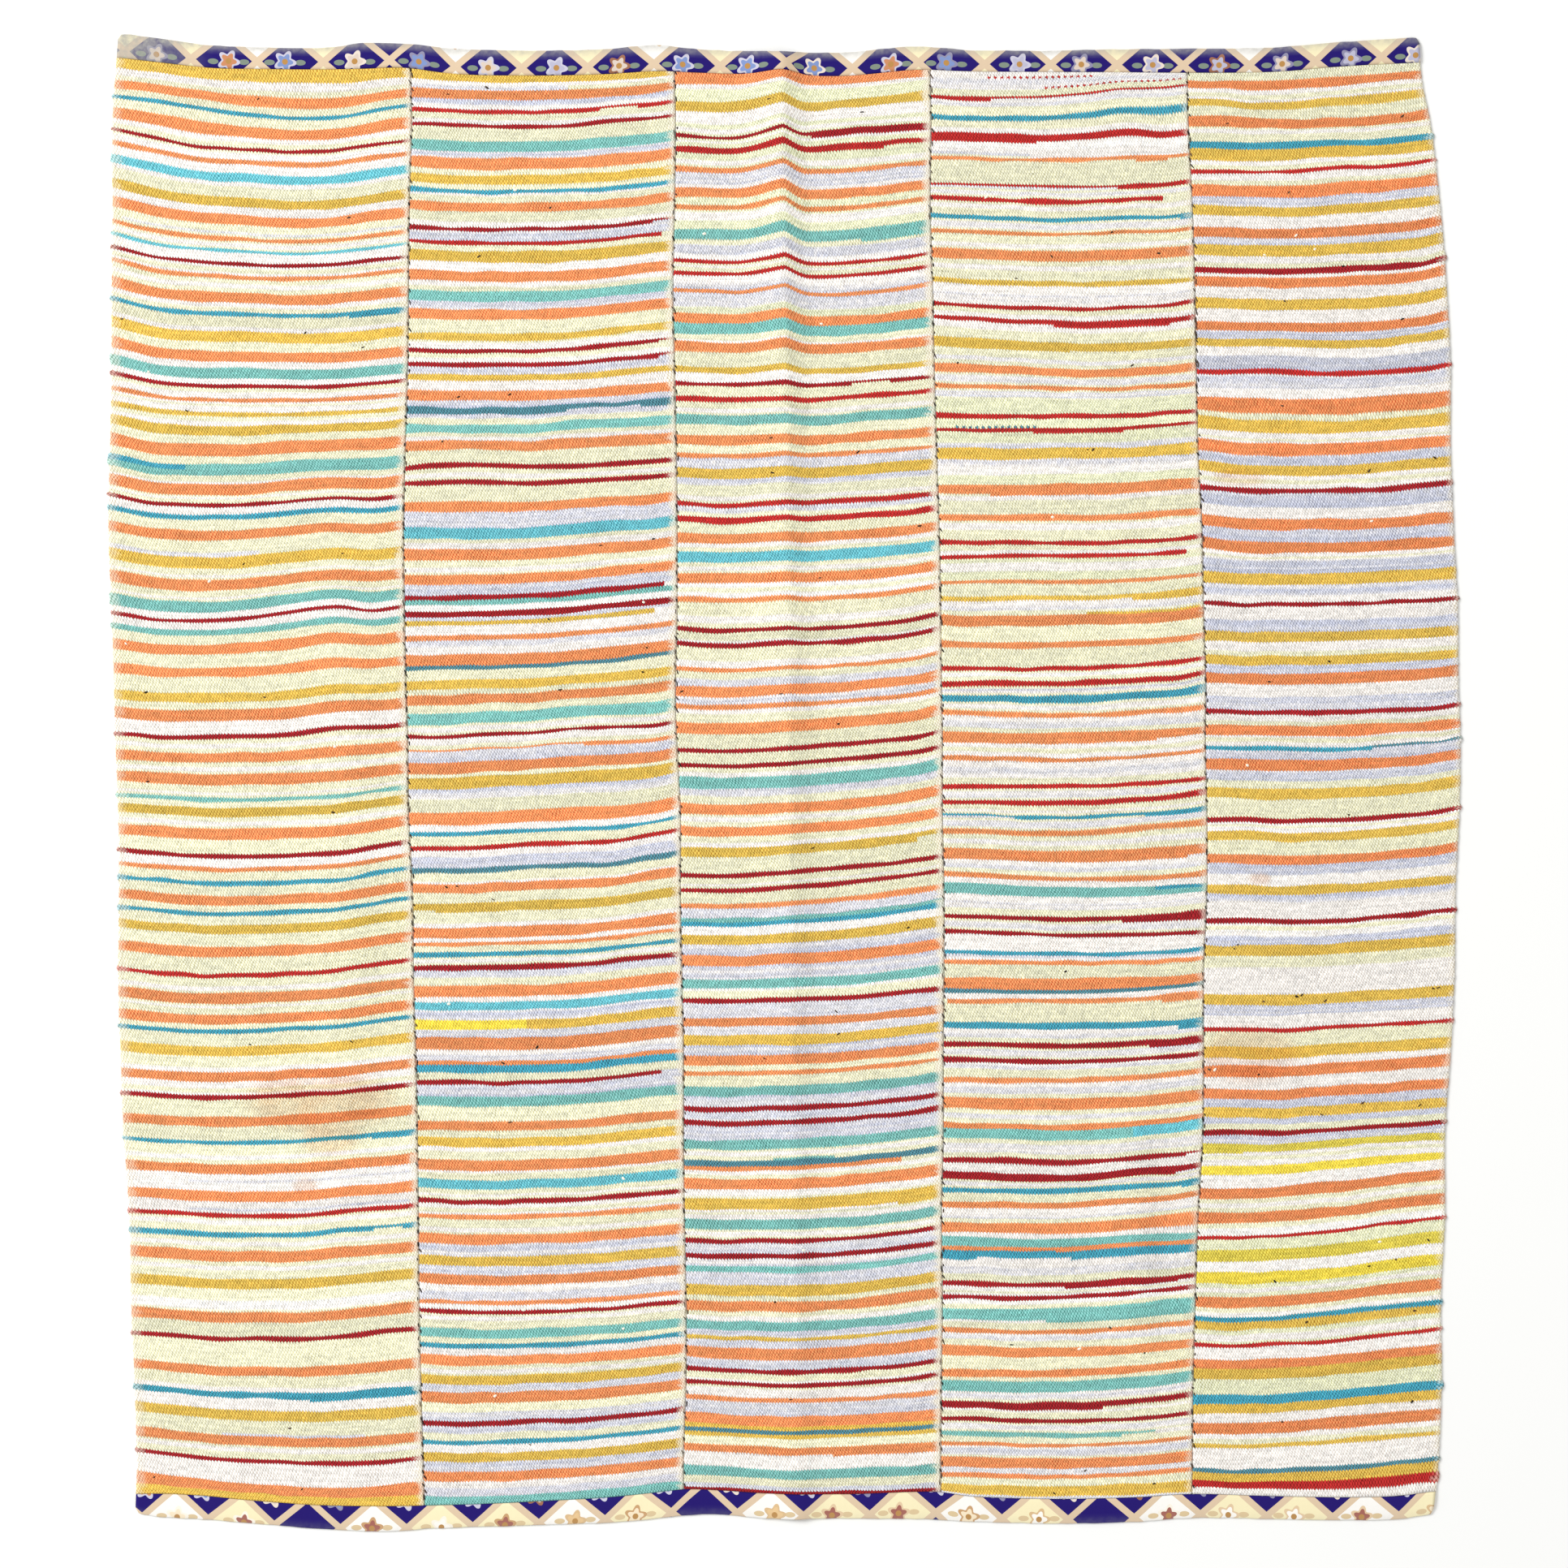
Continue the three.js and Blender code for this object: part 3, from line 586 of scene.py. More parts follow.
def panel_sheet(panel):
    starts, stripe_of, yarns = picks_of(panel)
    width = float(long_line(panel + 1, 0.0) - long_line(panel, 0.0))
    inner = np.linspace(0, 1, round(width / COLUMN) + 1)[1:-1]
    rim = RIM_STEPS / width
    u = np.concatenate([rim, inner, 1 - rim[::-1]])
    picks, columns = len(stripe_of), len(u) - 1

    # where each weft line runs, then fitted to the two sewn ends
    y = CHART_TOP - starts[:, None] - bow(panel, starts, u)
    borders = np.append(np.searchsorted(stripe_of, np.arange(len(yarns))), picks)
    knots = np.arange(0, width + WOBBLE_RUN, WOBBLE_RUN)
    wobble = rng.normal(0, WOBBLE, (len(borders), len(knots)))
    wobble = np.array([smooth(knots, row, u * width) for row in wobble])
    y = y + np.array([np.interp(np.arange(picks + 1), borders, column) for column in wobble.T]).T
    x_left = long_line(panel, y[:, 0])[:, None]
    x_right = long_line(panel + 1, y[:, -1])[:, None]
    x = x_left + (x_right - x_left) * u
    if panel == CREASED:
        off = x - crest_of(FOLDS[0], y)[0]
        away = np.clip(np.abs(off) / np.where(off < 0, CREASE_DRAW_LEFT, CREASE_DRAW_RIGHT), 0, 1)
        drawn_up = np.interp(starts, CREASE_DRAW[:, 0], CREASE_DRAW[:, 1])[:, None]
        y = y + drawn_up * (1 - away ** CREASE_SHARPNESS) ** 2
    top = end_line("top", SEWN, x[0]) - SEAM_GAP / 2
    bottom = end_line("bottom", SEWN, x[-1]) + SEAM_GAP / 2
    near_top = np.clip(1 - (starts - starts[0]) / END_FADE, 0, 1) ** 2
    near_bottom = np.clip(1 - (starts[-1] - starts) / END_FADE, 0, 1) ** 2
    y = y + near_top[:, None] * (top - y[0]) + near_bottom[:, None] * (bottom - y[-1])
    y = np.maximum(np.minimum(y, top), bottom)

    # loops of weft at the outer edges, and a slightly drawn edge at each seam
    from_left = x - x[:, :1]
    from_right = x[:, -1:] - x
    x_middle = (x[:-1, :-1] + x[1:, 1:]) / 2
    grid = yarn_grid(panel, starts, stripe_of, yarns, x_middle)
    thin_rag = np.array([yarns[s] in THIN_RAGS for s in stripe_of]) * rng.uniform(*THIN_LOOP, picks)
    loops = np.abs(rng.normal(0, SMALL_LOOP, picks)) + thin_rag
    loops = between(loops)
    drawn = np.abs(rng.normal(0, SEAM_RAGGED, (2, picks + 1)))
    reach_left = loops if panel == 0 else -SEAM_GAP / 2 - drawn[0]
    reach_right = loops if panel == 4 else -SEAM_GAP / 2 - drawn[1]
    x = x - reach_left[:, None] * np.clip(1 - from_left / LOOP_RUN, 0, 1) ** 1.5
    x = x + reach_right[:, None] * np.clip(1 - from_right / LOOP_RUN, 0, 1) ** 1.5

    # thickness: stripes a little rounded, slubs along each pick, thinner at the selvages
    first = np.searchsorted(stripe_of, stripe_of)
    count = np.bincount(stripe_of)[stripe_of]
    within = (np.arange(picks) - first + 0.5) / count
    bulge = between(STRIPE_ROUND * np.sin(np.pi * within) ** 0.6)
    knots = np.arange(0, width + SLUB_RUN, SLUB_RUN)
    slub_rows = rng.normal(0, SLUB, (picks + 1, len(knots)))
    slubs = np.array([np.interp(u * width, knots, row) for row in slub_rows])
    close = np.minimum(from_left, from_right)
    rounded = np.sqrt(1 - (1 - np.clip(close / SELVAGE_ROUND, 0.05, 1)) ** 2)
    lift = fold_height(x, y)
    thick = (WEAVE_THICK - FRONT_SINK + bulge[:, None] + slubs) * rounded

    back_columns = np.unique(np.append(np.arange(0, columns + 1, BACK_SKIP), columns))
    front = np.stack([x, y, lift + thick], -1)
    back = np.stack([x, y, lift], -1)[:, back_columns]
    points = np.concatenate([front.reshape(-1, 3), back.reshape(-1, 3)]) * MM
    at = np.arange(front.shape[0] * front.shape[1]).reshape(front.shape[:2])
    under = at.size + np.arange(back.shape[0] * back.shape[1]).reshape(back.shape[:2])

    quads = np.stack([at[:-1, :-1], at[1:, :-1], at[1:, 1:], at[:-1, 1:]], -1).reshape(-1, 4)
    flat = np.stack([under[:-1, :-1], under[:-1, 1:], under[1:, 1:], under[1:, :-1]], -1).reshape(-1, 4)
    left = np.stack([at[:-1, 0], under[:-1, 0], under[1:, 0], at[1:, 0]], -1)
    right = np.stack([at[:-1, -1], at[1:, -1], under[1:, -1], under[:-1, -1]], -1)
    faces = np.concatenate([quads, flat, left, right]).tolist()
    for k in range(len(back_columns) - 1):
        a, b = back_columns[k], back_columns[k + 1]
        faces.append([under[0, k], *at[0, a:b + 1], under[0, k + 1]])
        faces.append([under[-1, k + 1], *at[-1, a:b + 1][::-1], under[-1, k]])

    mesh = bpy.data.meshes.new(f"panel_{panel + 1}_weave")
    mesh.from_pydata(points.tolist(), [], faces)

    # the colour of each face, and of the picks above and below it
    shades = np.clip(rng.normal(1.0, STRIPE_SHADE, len(yarns)), 0.9, 1.08)
    light = {letter: np.array(linear(colour)) for letter, colour in YARNS.items()}
    paint = np.array([[light[letter] for letter in row] for row in grid])
    paint[..., :3] *= shades[stripe_of][:, None, None]
    paint[..., :3] *= rng.normal(1.0, BIT_SHADE, grid.shape)[..., None]
    whiter = rng.normal(LILAC_WHITE[panel], 0.1, grid.shape) + rng.normal(0, 0.16, (picks, 1))
    bleach = (grid == "L") * np.clip(whiter, 0, 1)
    paint += (light["W"] - paint) * bleach[..., None]
    around = {"own": paint, "above": np.roll(paint, 1, 0), "below": np.roll(paint, -1, 0)}
    around["above"][0] = paint[0]
    around["below"][-1] = paint[-1]
    behind = back_columns[:-1]
    for name, colours in around.items():
        at_ends = np.stack([colours[0, behind], colours[-1, behind]], 1).reshape(-1, 4)
        both_sides = [colours.reshape(-1, 4), colours[:, behind].reshape(-1, 4)]
        values = np.concatenate([*both_sides, colours[:, 0], colours[:, -1], at_ends])
        layer = mesh.attributes.new(name, "FLOAT_COLOR", "FACE")
        layer.data.foreach_set("color", np.minimum(values, 1).ravel())

    # places in the weave, in beads across and picks down
    beads = np.broadcast_to(u * width / BEAD, x.shape)
    rows = np.broadcast_to(np.arange(picks + 1.0)[:, None], x.shape)
    places = np.stack([beads, rows], -1)
    places = np.concatenate([places.reshape(-1, 2), places[:, back_columns].reshape(-1, 2)])
    corner = np.empty(len(mesh.loops), np.int32)
    mesh.loops.foreach_get("vertex_index", corner)
    mesh.uv_layers.new(name="weave").uv.foreach_set("vector", places[corner].ravel())

    # paler selvages, and a few old stains
    ragged = rng.normal(0, SELVAGE_RAGGED, (2, picks + 1, 1))
    pale = SELVAGE_PALE[panel] * ease((SELVAGE_WIDE[panel] + ragged[0] - from_right) / 5)
    if panel == 0:
        pale = np.maximum(pale, LEFT_PALE * ease((LEFT_WIDE + ragged[1] - from_left) / 6))
    stain = np.zeros(x.shape)
    for sx, sy, wide, high, depth in STAINS:
        far = np.hypot((x - sx - CHART_LEFT) / wide, (CHART_TOP - y - sy) / high)
        stain = np.maximum(stain, depth * ease(2.3 - 1.9 * far))
    for name, values in (("pale", pale), ("stain", stain)):
        layer = mesh.attributes.new(name, "FLOAT", "POINT")
        values = np.concatenate([values.ravel(), values[:, back_columns].ravel()])
        layer.data.foreach_set("value", values)
    mesh.shade_smooth()
    mesh.update()
    return mesh


print("column", COLUMN, "mm, pick", PICK, "mm, bead", BEAD, "mm")

# %% [markdown]
# ## Rag weave, the material
# Cotton rag, torn in strips and woven: matt, soft, with no gloss. Close to, it is a brick pattern
# of beads, each one the weft passing over a warp thread. Beads of neighbouring picks lie half
# a step apart, and each bulges into the rows beside it, which gives colour edges their saw
# teeth. So a point takes its colour from its own pick, or from the one above or below, and the
# corners where beads meet are darkened with painted shade. The UV map counts beads and picks.

# %% Weave material
TOOTH = 1.5
BEAD_SHAPE = (1.9, 1.05, 0)
# where the painted shade in the pits starts and is full, its least strength, and how far it deepens the
# yarn
PIT_STARTS = 0.4
PIT_FULL = 0.86
PIT_LEAST = 0.75
PIT_GAMMA = 2.7
STREAK_LIGHT = (0.9, 1.1)
MOTTLE_LIGHT = (0.93, 1.05)
BEAD_SLANT = -0.2
BEAD_DARKEST = 0.93
BEAD_LIGHTEST = 1.09

weave, tree, shader = matt_material("cotton_rag_weave", 0.95, 0.12)
shader.inputs["Sheen Weight"].default_value = 0.04
shader.inputs["Sheen Roughness"].default_value = 0.6

place = add_node(tree, "ShaderNodeUVMap", uv_map="weave")
split = add_node(tree, SEPARATE, {0: place})
pick = add_node(tree, MATH, {0: split.outputs["Y"]}, operation="FLOOR")
depth = add_node(tree, MATH, {0: split.outputs["Y"]}, operation="FRACT")
half_step = add_node(tree, MATH, {0: pick, 1: 0.5, 2: split.outputs["X"]}, operation="MULTIPLY_ADD")
slanted = add_node(tree, MATH, {0: split.outputs["Y"], 1: BEAD_SLANT, 2: half_step},
                   operation="MULTIPLY_ADD")
wander = add_node(tree, NOISE, {"Vector": place, "Scale": 0.35, "Detail": 1.0})
wandering = add_node(tree, MATH, {0: wander, 1: 1.2, 2: slanted}, operation="MULTIPLY_ADD")
aside = add_node(tree, MATH, {0: wandering, 1: 0.5}, operation="PINGPONG")
from_middle = add_node(tree, MATH, {0: depth, 1: 0.5}, operation="SUBTRACT")
up_down = add_node(tree, MATH, {0: from_middle}, operation="ABSOLUTE")
edge = add_node(tree, MATH, {0: aside, 1: -TOOTH, 2: 0.5 + TOOTH / 4}, operation="MULTIPLY_ADD")
is_next = add_node(tree, MATH, {0: up_down, 1: edge}, operation="GREATER_THAN")
is_below = add_node(tree, MATH, {0: depth, 1: 0.5}, operation="GREATER_THAN")

own = add_node(tree, ATTRIBUTE, attribute_name="own")
above = add_node(tree, ATTRIBUTE, attribute_name="above")
below = add_node(tree, ATTRIBUTE, attribute_name="below")
neighbour = add_node(tree, MIX, {0: is_below, 6: above, 7: below}, data_type="RGBA")
yarn = add_node(tree, MIX, {0: is_next, 6: own, 7: neighbour.outputs[2]}, data_type="RGBA")

# the same place measured from the middle of the bead that it belongs to
aside_swap = add_node(tree, MATH, {0: aside, 1: -2.0, 2: 0.5}, operation="MULTIPLY_ADD")
bead_x = add_node(tree, MATH, {0: aside_swap, 1: is_next, 2: aside}, operation="MULTIPLY_ADD")
depth_swap = add_node(tree, MATH, {0: up_down, 1: -2.0, 2: 1.0}, operation="MULTIPLY_ADD")
bead_y = add_node(tree, MATH, {0: depth_swap, 1: is_next, 2: up_down}, operation="MULTIPLY_ADD")
bead_place = add_node(tree, COMBINE, {0: bead_x, 1: bead_y})
bead_scaled = add_node(tree, VECTOR, {0: bead_place, 1: BEAD_SHAPE}, operation="MULTIPLY")
bead_far = add_node(tree, VECTOR, {0: bead_scaled}, operation="LENGTH")
bead_far_out = bead_far.outputs["Value"]

# painted shade in the pits between beads, deeper in some places than in others
pit = add_node(tree, RANGE, {0: bead_far_out, 1: PIT_STARTS, 2: PIT_FULL},
               interpolation_type="SMOOTHSTEP")
patchy = add_node(tree, NOISE, {"Vector": place, "Scale": 0.09, "Detail": 2.0})
pit_shade_strength = add_node(tree, RANGE, {0: patchy, 1: 0.3, 2: 0.7, 3: PIT_LEAST})
pit_shade = add_node(tree, MATH, {0: pit, 1: pit_shade_strength}, operation="MULTIPLY")

# each pick, and each stretch of it, is a little lighter or darker than the next
stretch = add_node(tree, VECTOR, {0: place, 1: (0.05, 1.0, 1.0)}, operation="MULTIPLY")
streak = add_node(tree, NOISE, {"Vector": stretch, "Scale": 1.1, "Detail": 2.0})
streak_light = add_node(tree, RANGE, {0: streak, 1: 0.25, 2: 0.75, 3: STREAK_LIGHT[0], 4: STREAK_LIGHT[1]})
bead_number = add_node(tree, MATH, {0: wandering}, operation="ROUND")
bead_seed = add_node(tree, COMBINE, {0: bead_number, 1: pick})
bead_chance = add_node(tree, "ShaderNodeTexWhiteNoise", {"Vector": bead_seed}, noise_dimensions="2D")
bead_light = add_node(tree, RANGE, {0: bead_chance.outputs["Value"], 3: BEAD_DARKEST, 4: BEAD_LIGHTEST})
mottle = add_node(tree, NOISE, {"Vector": place, "Scale": 0.55, "Detail": 1.0})
mottle_light = add_node(tree, RANGE, {0: mottle, 1: 0.3, 2: 0.7, 3: MOTTLE_LIGHT[0], 4: MOTTLE_LIGHT[1]})
lights = add_node(tree, MATH, {0: streak_light, 1: bead_light}, operation="MULTIPLY")
both_light = add_node(tree, MATH, {0: lights, 1: mottle_light}, operation="MULTIPLY")
lit_yarn = add_node(tree, MIX, {0: 1.0, 6: yarn.outputs[2], 7: both_light}, data_type="RGBA",
                    blend_type="MULTIPLY")

pale_edge = add_node(tree, ATTRIBUTE, attribute_name="pale")
selvage = add_node(tree, MIX, {0: pale_edge.outputs["Fac"], 6: lit_yarn.outputs[2],
                                           7: linear("#FBF5E4")}, data_type="RGBA")
stain = add_node(tree, ATTRIBUTE, attribute_name="stain")
stain_noise = add_node(tree, NOISE, {"Vector": place, "Scale": 0.12, "Detail": 3.0})
stain_edge = add_node(tree, MATH, {0: stain.outputs["Fac"], 1: stain_noise}, operation="MULTIPLY")
stained = add_node(tree, MIX, {0: stain_edge, 6: selvage.outputs[2], 7: linear("#E4B186")},
                   data_type="RGBA", blend_type="MULTIPLY")
# the colour of the painted shade in the pits: the yarn deepened and greyed
pit_shade_deep = add_node(tree, "ShaderNodeGamma", {0: stained.outputs[2], 1: PIT_GAMMA})
pit_shade_colour = add_node(tree, MIX, {0: 1.0, 6: pit_shade_deep, 7: linear("#D2CCC6")}, data_type="RGBA",
                      blend_type="MULTIPLY")
cloth_colour = add_node(tree, MIX, {0: pit_shade, 6: stained.outputs[2], 7: pit_shade_colour.outputs[2]},
                        data_type="RGBA")
tree.links.new(cloth_colour.outputs[2], shader.inputs["Base Color"])

dome = add_node(tree, MATH, {0: bead_far_out, 1: 2.0}, operation="POWER")
fibre = add_node(tree, NOISE, {"Vector": place, "Scale": 2.2, "Detail": 3.0})
relief = add_node(tree, MATH, {0: fibre, 1: 0.35, 2: 1.0}, operation="MULTIPLY_ADD")
height = add_node(tree, MATH, {0: relief, 1: dome}, operation="SUBTRACT")
bump = add_node(tree, "ShaderNodeBump", {"Strength": 0.5, "Distance": 0.0007, "Height": height})
tree.links.new(bump.outputs[0], shader.inputs["Normal"])
print("weave material:", len(tree.nodes), "nodes")

# %% [markdown]
# Now the sheets can be woven. The places are in the mesh, so each object stays at the origin.

# %% Weave the five panels
def place_piece(name, mesh, *materials):
    for material in materials:
        mesh.materials.append(material)
    piece = bpy.data.objects.new(name, mesh)
    scene.collection.objects.link(piece)
    return piece


panels = [place_piece(f"weave_{p + 1}", panel_sheet(p), weave) for p in range(5)]
for piece in panels:
    print(piece.name, len(piece.data.polygons), "faces")

# %% [markdown]
# ## The bindings
# Each end is closed by a strip of cotton about 6 cm wide, folded in half over the raw edge. A box
# would look like a board here, so the strip is made as a real fold: it starts under the blanket
# at the sewn line, runs out to the fold, turns, and comes back over the top. It is full in the
# middle and drawn down where it is sewn. Its UV map follows the cloth round the fold.

# %% Binding builder
BINDING_STEP = 4.0
COTTON = 0.7
CORNER = 7.0
BINDING_FULL = 3.2
BINDING_SEWN = 2.5
PRINT_WIDE = 81.5
PRINT_HIGH = 70.0
ARC_STEPS = 6
LEAF_STEPS = 9
BINDING_LONG = 1610
FOLD_WEAR = {"top": 0.75, "bottom": 0.15}
CORNER_WEAR = 0.9
FOLD_RIM = 0.9
LEAF_SHARE = 0.96
PUCKER = 0.22
PUCKER_RUN = 26
RIPPLE = 0.25
RIPPLE_RUN = 11


def binding_sheet(end, outward, print_start, print_row):
    left = float(end_line(end, SEWN, long_line(0, ends[end][0, SEWN])))
    steps = np.linspace(0, 1, round(BINDING_LONG / BINDING_STEP) + 1)
    sewn_guess = np.full(len(steps), left)
    for _ in range(4):
        first, last = long_line(0, sewn_guess), long_line(5, sewn_guess)
        x_sewn = first + (last - first) * steps
        sewn_guess = end_line(end, SEWN, x_sewn)
    y_sewn = sewn_guess + outward * SEAM_GAP / 2
    y_edge = end_line(end, EDGE, x_sewn)
    from_side = np.clip(np.minimum(x_sewn - x_sewn[0], x_sewn[-1] - x_sewn), 0, CORNER)
    y_edge = y_edge - outward * (CORNER - np.sqrt(CORNER ** 2 - (CORNER - from_side) ** 2))
    knots = [np.arange(-850, 851, run) for run in (PUCKER_RUN, RIPPLE_RUN)]
    pucker = np.interp(x_sewn, knots[0], rng.normal(0, PUCKER, len(knots[0])))
    ripple = np.interp(x_sewn, knots[1], rng.normal(0, RIPPLE, len(knots[1])))

    # one section of the fold: how far out it lies, and its height, for the middle of the cloth
    leaf = np.linspace(0, 1, LEAF_STEPS)
    turn = np.linspace(-90, 90, ARC_STEPS + 2)[1:-1] * math.pi / 180
    sewn = BINDING_SEWN - COTTON / 2
    over = sewn + (BINDING_FULL - BINDING_SEWN) * np.sin(np.pi * leaf) ** 0.7
    over[0] = 2 * FOLD_RIM + COTTON / 2
    flat = leaf * LEAF_SHARE
    out = np.concatenate([flat, LEAF_SHARE + (1 - LEAF_SHARE) * np.cos(turn), flat[::-1]])
    round_turn = COTTON / 2 + FOLD_RIM * (1 + np.sin(turn))
    high = np.concatenate([np.full(LEAF_STEPS, COTTON / 2), round_turn, over])
    swell = np.concatenate([np.zeros(LEAF_STEPS + ARC_STEPS), np.sin(np.pi * leaf)])

    span = (y_edge - y_sewn)[:, None] + outward * ripple[:, None] * (out > 0.8)
    y = y_sewn[:, None] + span * out
    x = x_sewn[:, None] + np.zeros_like(y)
    for line, side in ((0, 0), (5, -1)):
        shift = long_line(line, y) - long_line(line, y_sewn[side])
        x = x + shift[side] * np.clip(1 - np.abs(steps - steps[side]) * 12, 0, 1)[:, None]
    z = fold_height(x, y) + high + pucker[:, None] * swell
    middle = np.stack([x, y, z], -1)

    # the cloth has two faces, half its thickness either side of the middle
    along = np.gradient(middle, axis=0)
    round_fold = np.gradient(middle, axis=1)
    normal = np.cross(along, round_fold) * -outward
    normal /= np.linalg.norm(normal, axis=-1, keepdims=True)
    outside = middle + normal * COTTON / 2
    inside = middle - normal * COTTON / 2
    points = np.concatenate([outside.reshape(-1, 3), inside.reshape(-1, 3)]) * MM
    points[:, 2] = np.maximum(points[:, 2], 0)
    at = np.arange(outside[..., 0].size).reshape(outside.shape[:2])
    inn = at + at.size
    quads = [
        np.stack([at[:-1, :-1], at[:-1, 1:], at[1:, 1:], at[1:, :-1]], -1).reshape(-1, 4),
        np.stack([inn[:-1, :-1], inn[1:, :-1], inn[1:, 1:], inn[:-1, 1:]], -1).reshape(-1, 4),
        np.stack([at[:-1, 0], at[1:, 0], inn[1:, 0], inn[:-1, 0]], -1),
        np.stack([at[:-1, -1], inn[:-1, -1], inn[1:, -1], at[1:, -1]], -1),
        np.stack([at[0, :-1], inn[0, :-1], inn[0, 1:], at[0, 1:]], -1),
        np.stack([at[-1, :-1], at[-1, 1:], inn[-1, 1:], inn[-1, :-1]], -1),
    ]
    faces = np.concatenate(quads)
    if outward > 0:
        faces = faces[:, ::-1]
    mesh = bpy.data.meshes.new(f"binding_{end}_cotton")
    mesh.from_pydata(points.tolist(), [], faces.tolist())

    # where each point lies on the print, in repeats
    legs = np.linalg.norm(np.diff(middle, axis=1, append=middle[:, -1:]), axis=-1)
    run = np.cumsum(legs[:, ::-1], 1)[:, ::-1]
    rows_in = print_row[0] + (print_row[1] - print_row[0]) * steps[:, None]
    on_print = np.stack([(x - CHART_LEFT - print_start) / PRINT_WIDE, (run - rows_in) / PRINT_HIGH], -1)
    on_print = np.concatenate([on_print.reshape(-1, 2)] * 2)
    corner = np.empty(len(mesh.loops), np.int32)
    mesh.loops.foreach_get("vertex_index", corner)
    mesh.uv_layers.new(name="print").uv.foreach_set("vector", on_print[corner].ravel())

    # worn along the fold, most of all at the top left corner
    at_fold = ease((out - 0.62) / 0.4)
    corner_wear = ease((-700 - x) / 110) if outward > 0 else np.zeros_like(x)
    wear = np.clip(at_fold * FOLD_WEAR[end] + corner_wear * CORNER_WEAR, 0, 1)
    layer = mesh.attributes.new("wear", "FLOAT", "POINT")
    layer.data.foreach_set("value", np.concatenate([wear.ravel()] * 2))
    mesh.shade_smooth()
    mesh.update()
    return mesh


print("cotton", COTTON, "mm thick, folded to", BINDING_FULL, "mm")

# %% [markdown]
# ## Printed cotton, the material
# A plain cotton with a trellis print: pale beige strips cross on the slant, and the lozenges
# between them are navy in one row and cream or white in the next, with small flowers. The whole
# print follows a rule, so it is drawn from the UV map: how far a point lies from the middle
# of its lozenge says whether it is in the lozenge or on a strip. The flowers are a plain round
# of petals, and a random value for each lozenge picks their colours.

# %% Printed cotton material
STRIP = 0.15
PETALS = 5.0
PETAL_REACH = 11.5
PETAL_WAVE = 2.8
EYE = 3.6
RIM_SHARE = 0.72
WANDER = 14.0
LEAF_AT = (19.0, -1.0, 0)
LEAF_SCALE = (1 / 6.5, 1 / 3.4, 0)
NAVY = "#21126B"

cotton, tree, shader = matt_material("printed_plain_cotton", 0.9, 0.2)

place = add_node(tree, "ShaderNodeUVMap", uv_map="print")
split = add_node(tree, SEPARATE, {0: place})
lozenge_x = add_node(tree, MATH, {0: split.outputs["X"], 1: 0.5}, operation="PINGPONG")
lozenge_y = add_node(tree, MATH, {0: split.outputs["Y"], 1: 0.5}, operation="PINGPONG")
both = add_node(tree, MATH, {0: lozenge_x, 1: lozenge_y}, operation="ADD")
far = add_node(tree, MATH, {0: both, 1: 2.0}, operation="MULTIPLY")
is_pale = add_node(tree, MATH, {0: far, 1: 1.0}, operation="GREATER_THAN")
from_line = add_node(tree, MATH, {0: far, 1: 1.0}, operation="SUBTRACT")
off_line = add_node(tree, MATH, {0: from_line}, operation="ABSOLUTE")
on_strip = add_node(tree, MATH, {0: off_line, 1: STRIP}, operation="LESS_THAN")

# the lozenge's own number, and the place in it from its middle, in millimetres
shift = add_node(tree, MATH, {0: is_pale, 1: -0.5, 2: 0.5}, operation="MULTIPLY_ADD")
moved = add_node(tree, VECTOR, {0: place, 1: shift}, operation="ADD")
number = add_node(tree, VECTOR, {0: moved}, operation="FLOOR")
part = add_node(tree, VECTOR, {0: moved}, operation="FRACTION")
centred = add_node(tree, VECTOR, {0: part, 1: (0.5, 0.5, 0)}, operation="SUBTRACT")
in_mm = add_node(tree, VECTOR, {0: centred, 1: (PRINT_WIDE, PRINT_HIGH, 0)}, operation="MULTIPLY")
kind = add_node(tree, COMBINE, {2: is_pale})
seed = add_node(tree, VECTOR, {0: number, 1: kind}, operation="ADD")
chance = add_node(tree, "ShaderNodeTexWhiteNoise", {"Vector": seed}, noise_dimensions="3D")
chances = add_node(tree, SEPARATE, {0: chance.outputs["Color"]})

# a flower: its reach wavers with the angle, once for each petal
spot = add_node(tree, SEPARATE, {0: in_mm})
spot_x = add_node(tree, MATH, {0: chances.outputs["Y"], 1: WANDER, 2: spot.outputs["X"]},
                  operation="MULTIPLY_ADD")
spot_x = add_node(tree, MATH, {0: spot_x, 1: WANDER / 2}, operation="SUBTRACT")
angle = add_node(tree, MATH, {0: spot.outputs["Y"], 1: spot_x}, operation="ARCTAN2")
turned = add_node(tree, MATH, {0: angle, 1: PETALS, 2: chances.outputs["X"]}, operation="MULTIPLY_ADD")
wave = add_node(tree, MATH, {0: turned}, operation="COSINE")
reach = add_node(tree, MATH, {0: wave, 1: PETAL_WAVE, 2: PETAL_REACH}, operation="MULTIPLY_ADD")
spot_at = add_node(tree, COMBINE, {0: spot_x, 1: spot.outputs["Y"]})
spot_far = add_node(tree, VECTOR, {0: spot_at}, operation="LENGTH")
in_flower = add_node(tree, MATH, {0: spot_far.outputs["Value"], 1: reach}, operation="LESS_THAN")
in_eye = add_node(tree, MATH, {0: spot_far.outputs["Value"], 1: EYE}, operation="LESS_THAN")
inner = add_node(tree, MATH, {0: reach, 1: RIM_SHARE}, operation="MULTIPLY")
in_petal = add_node(tree, MATH, {0: spot_far.outputs["Value"], 1: inner}, operation="LESS_THAN")
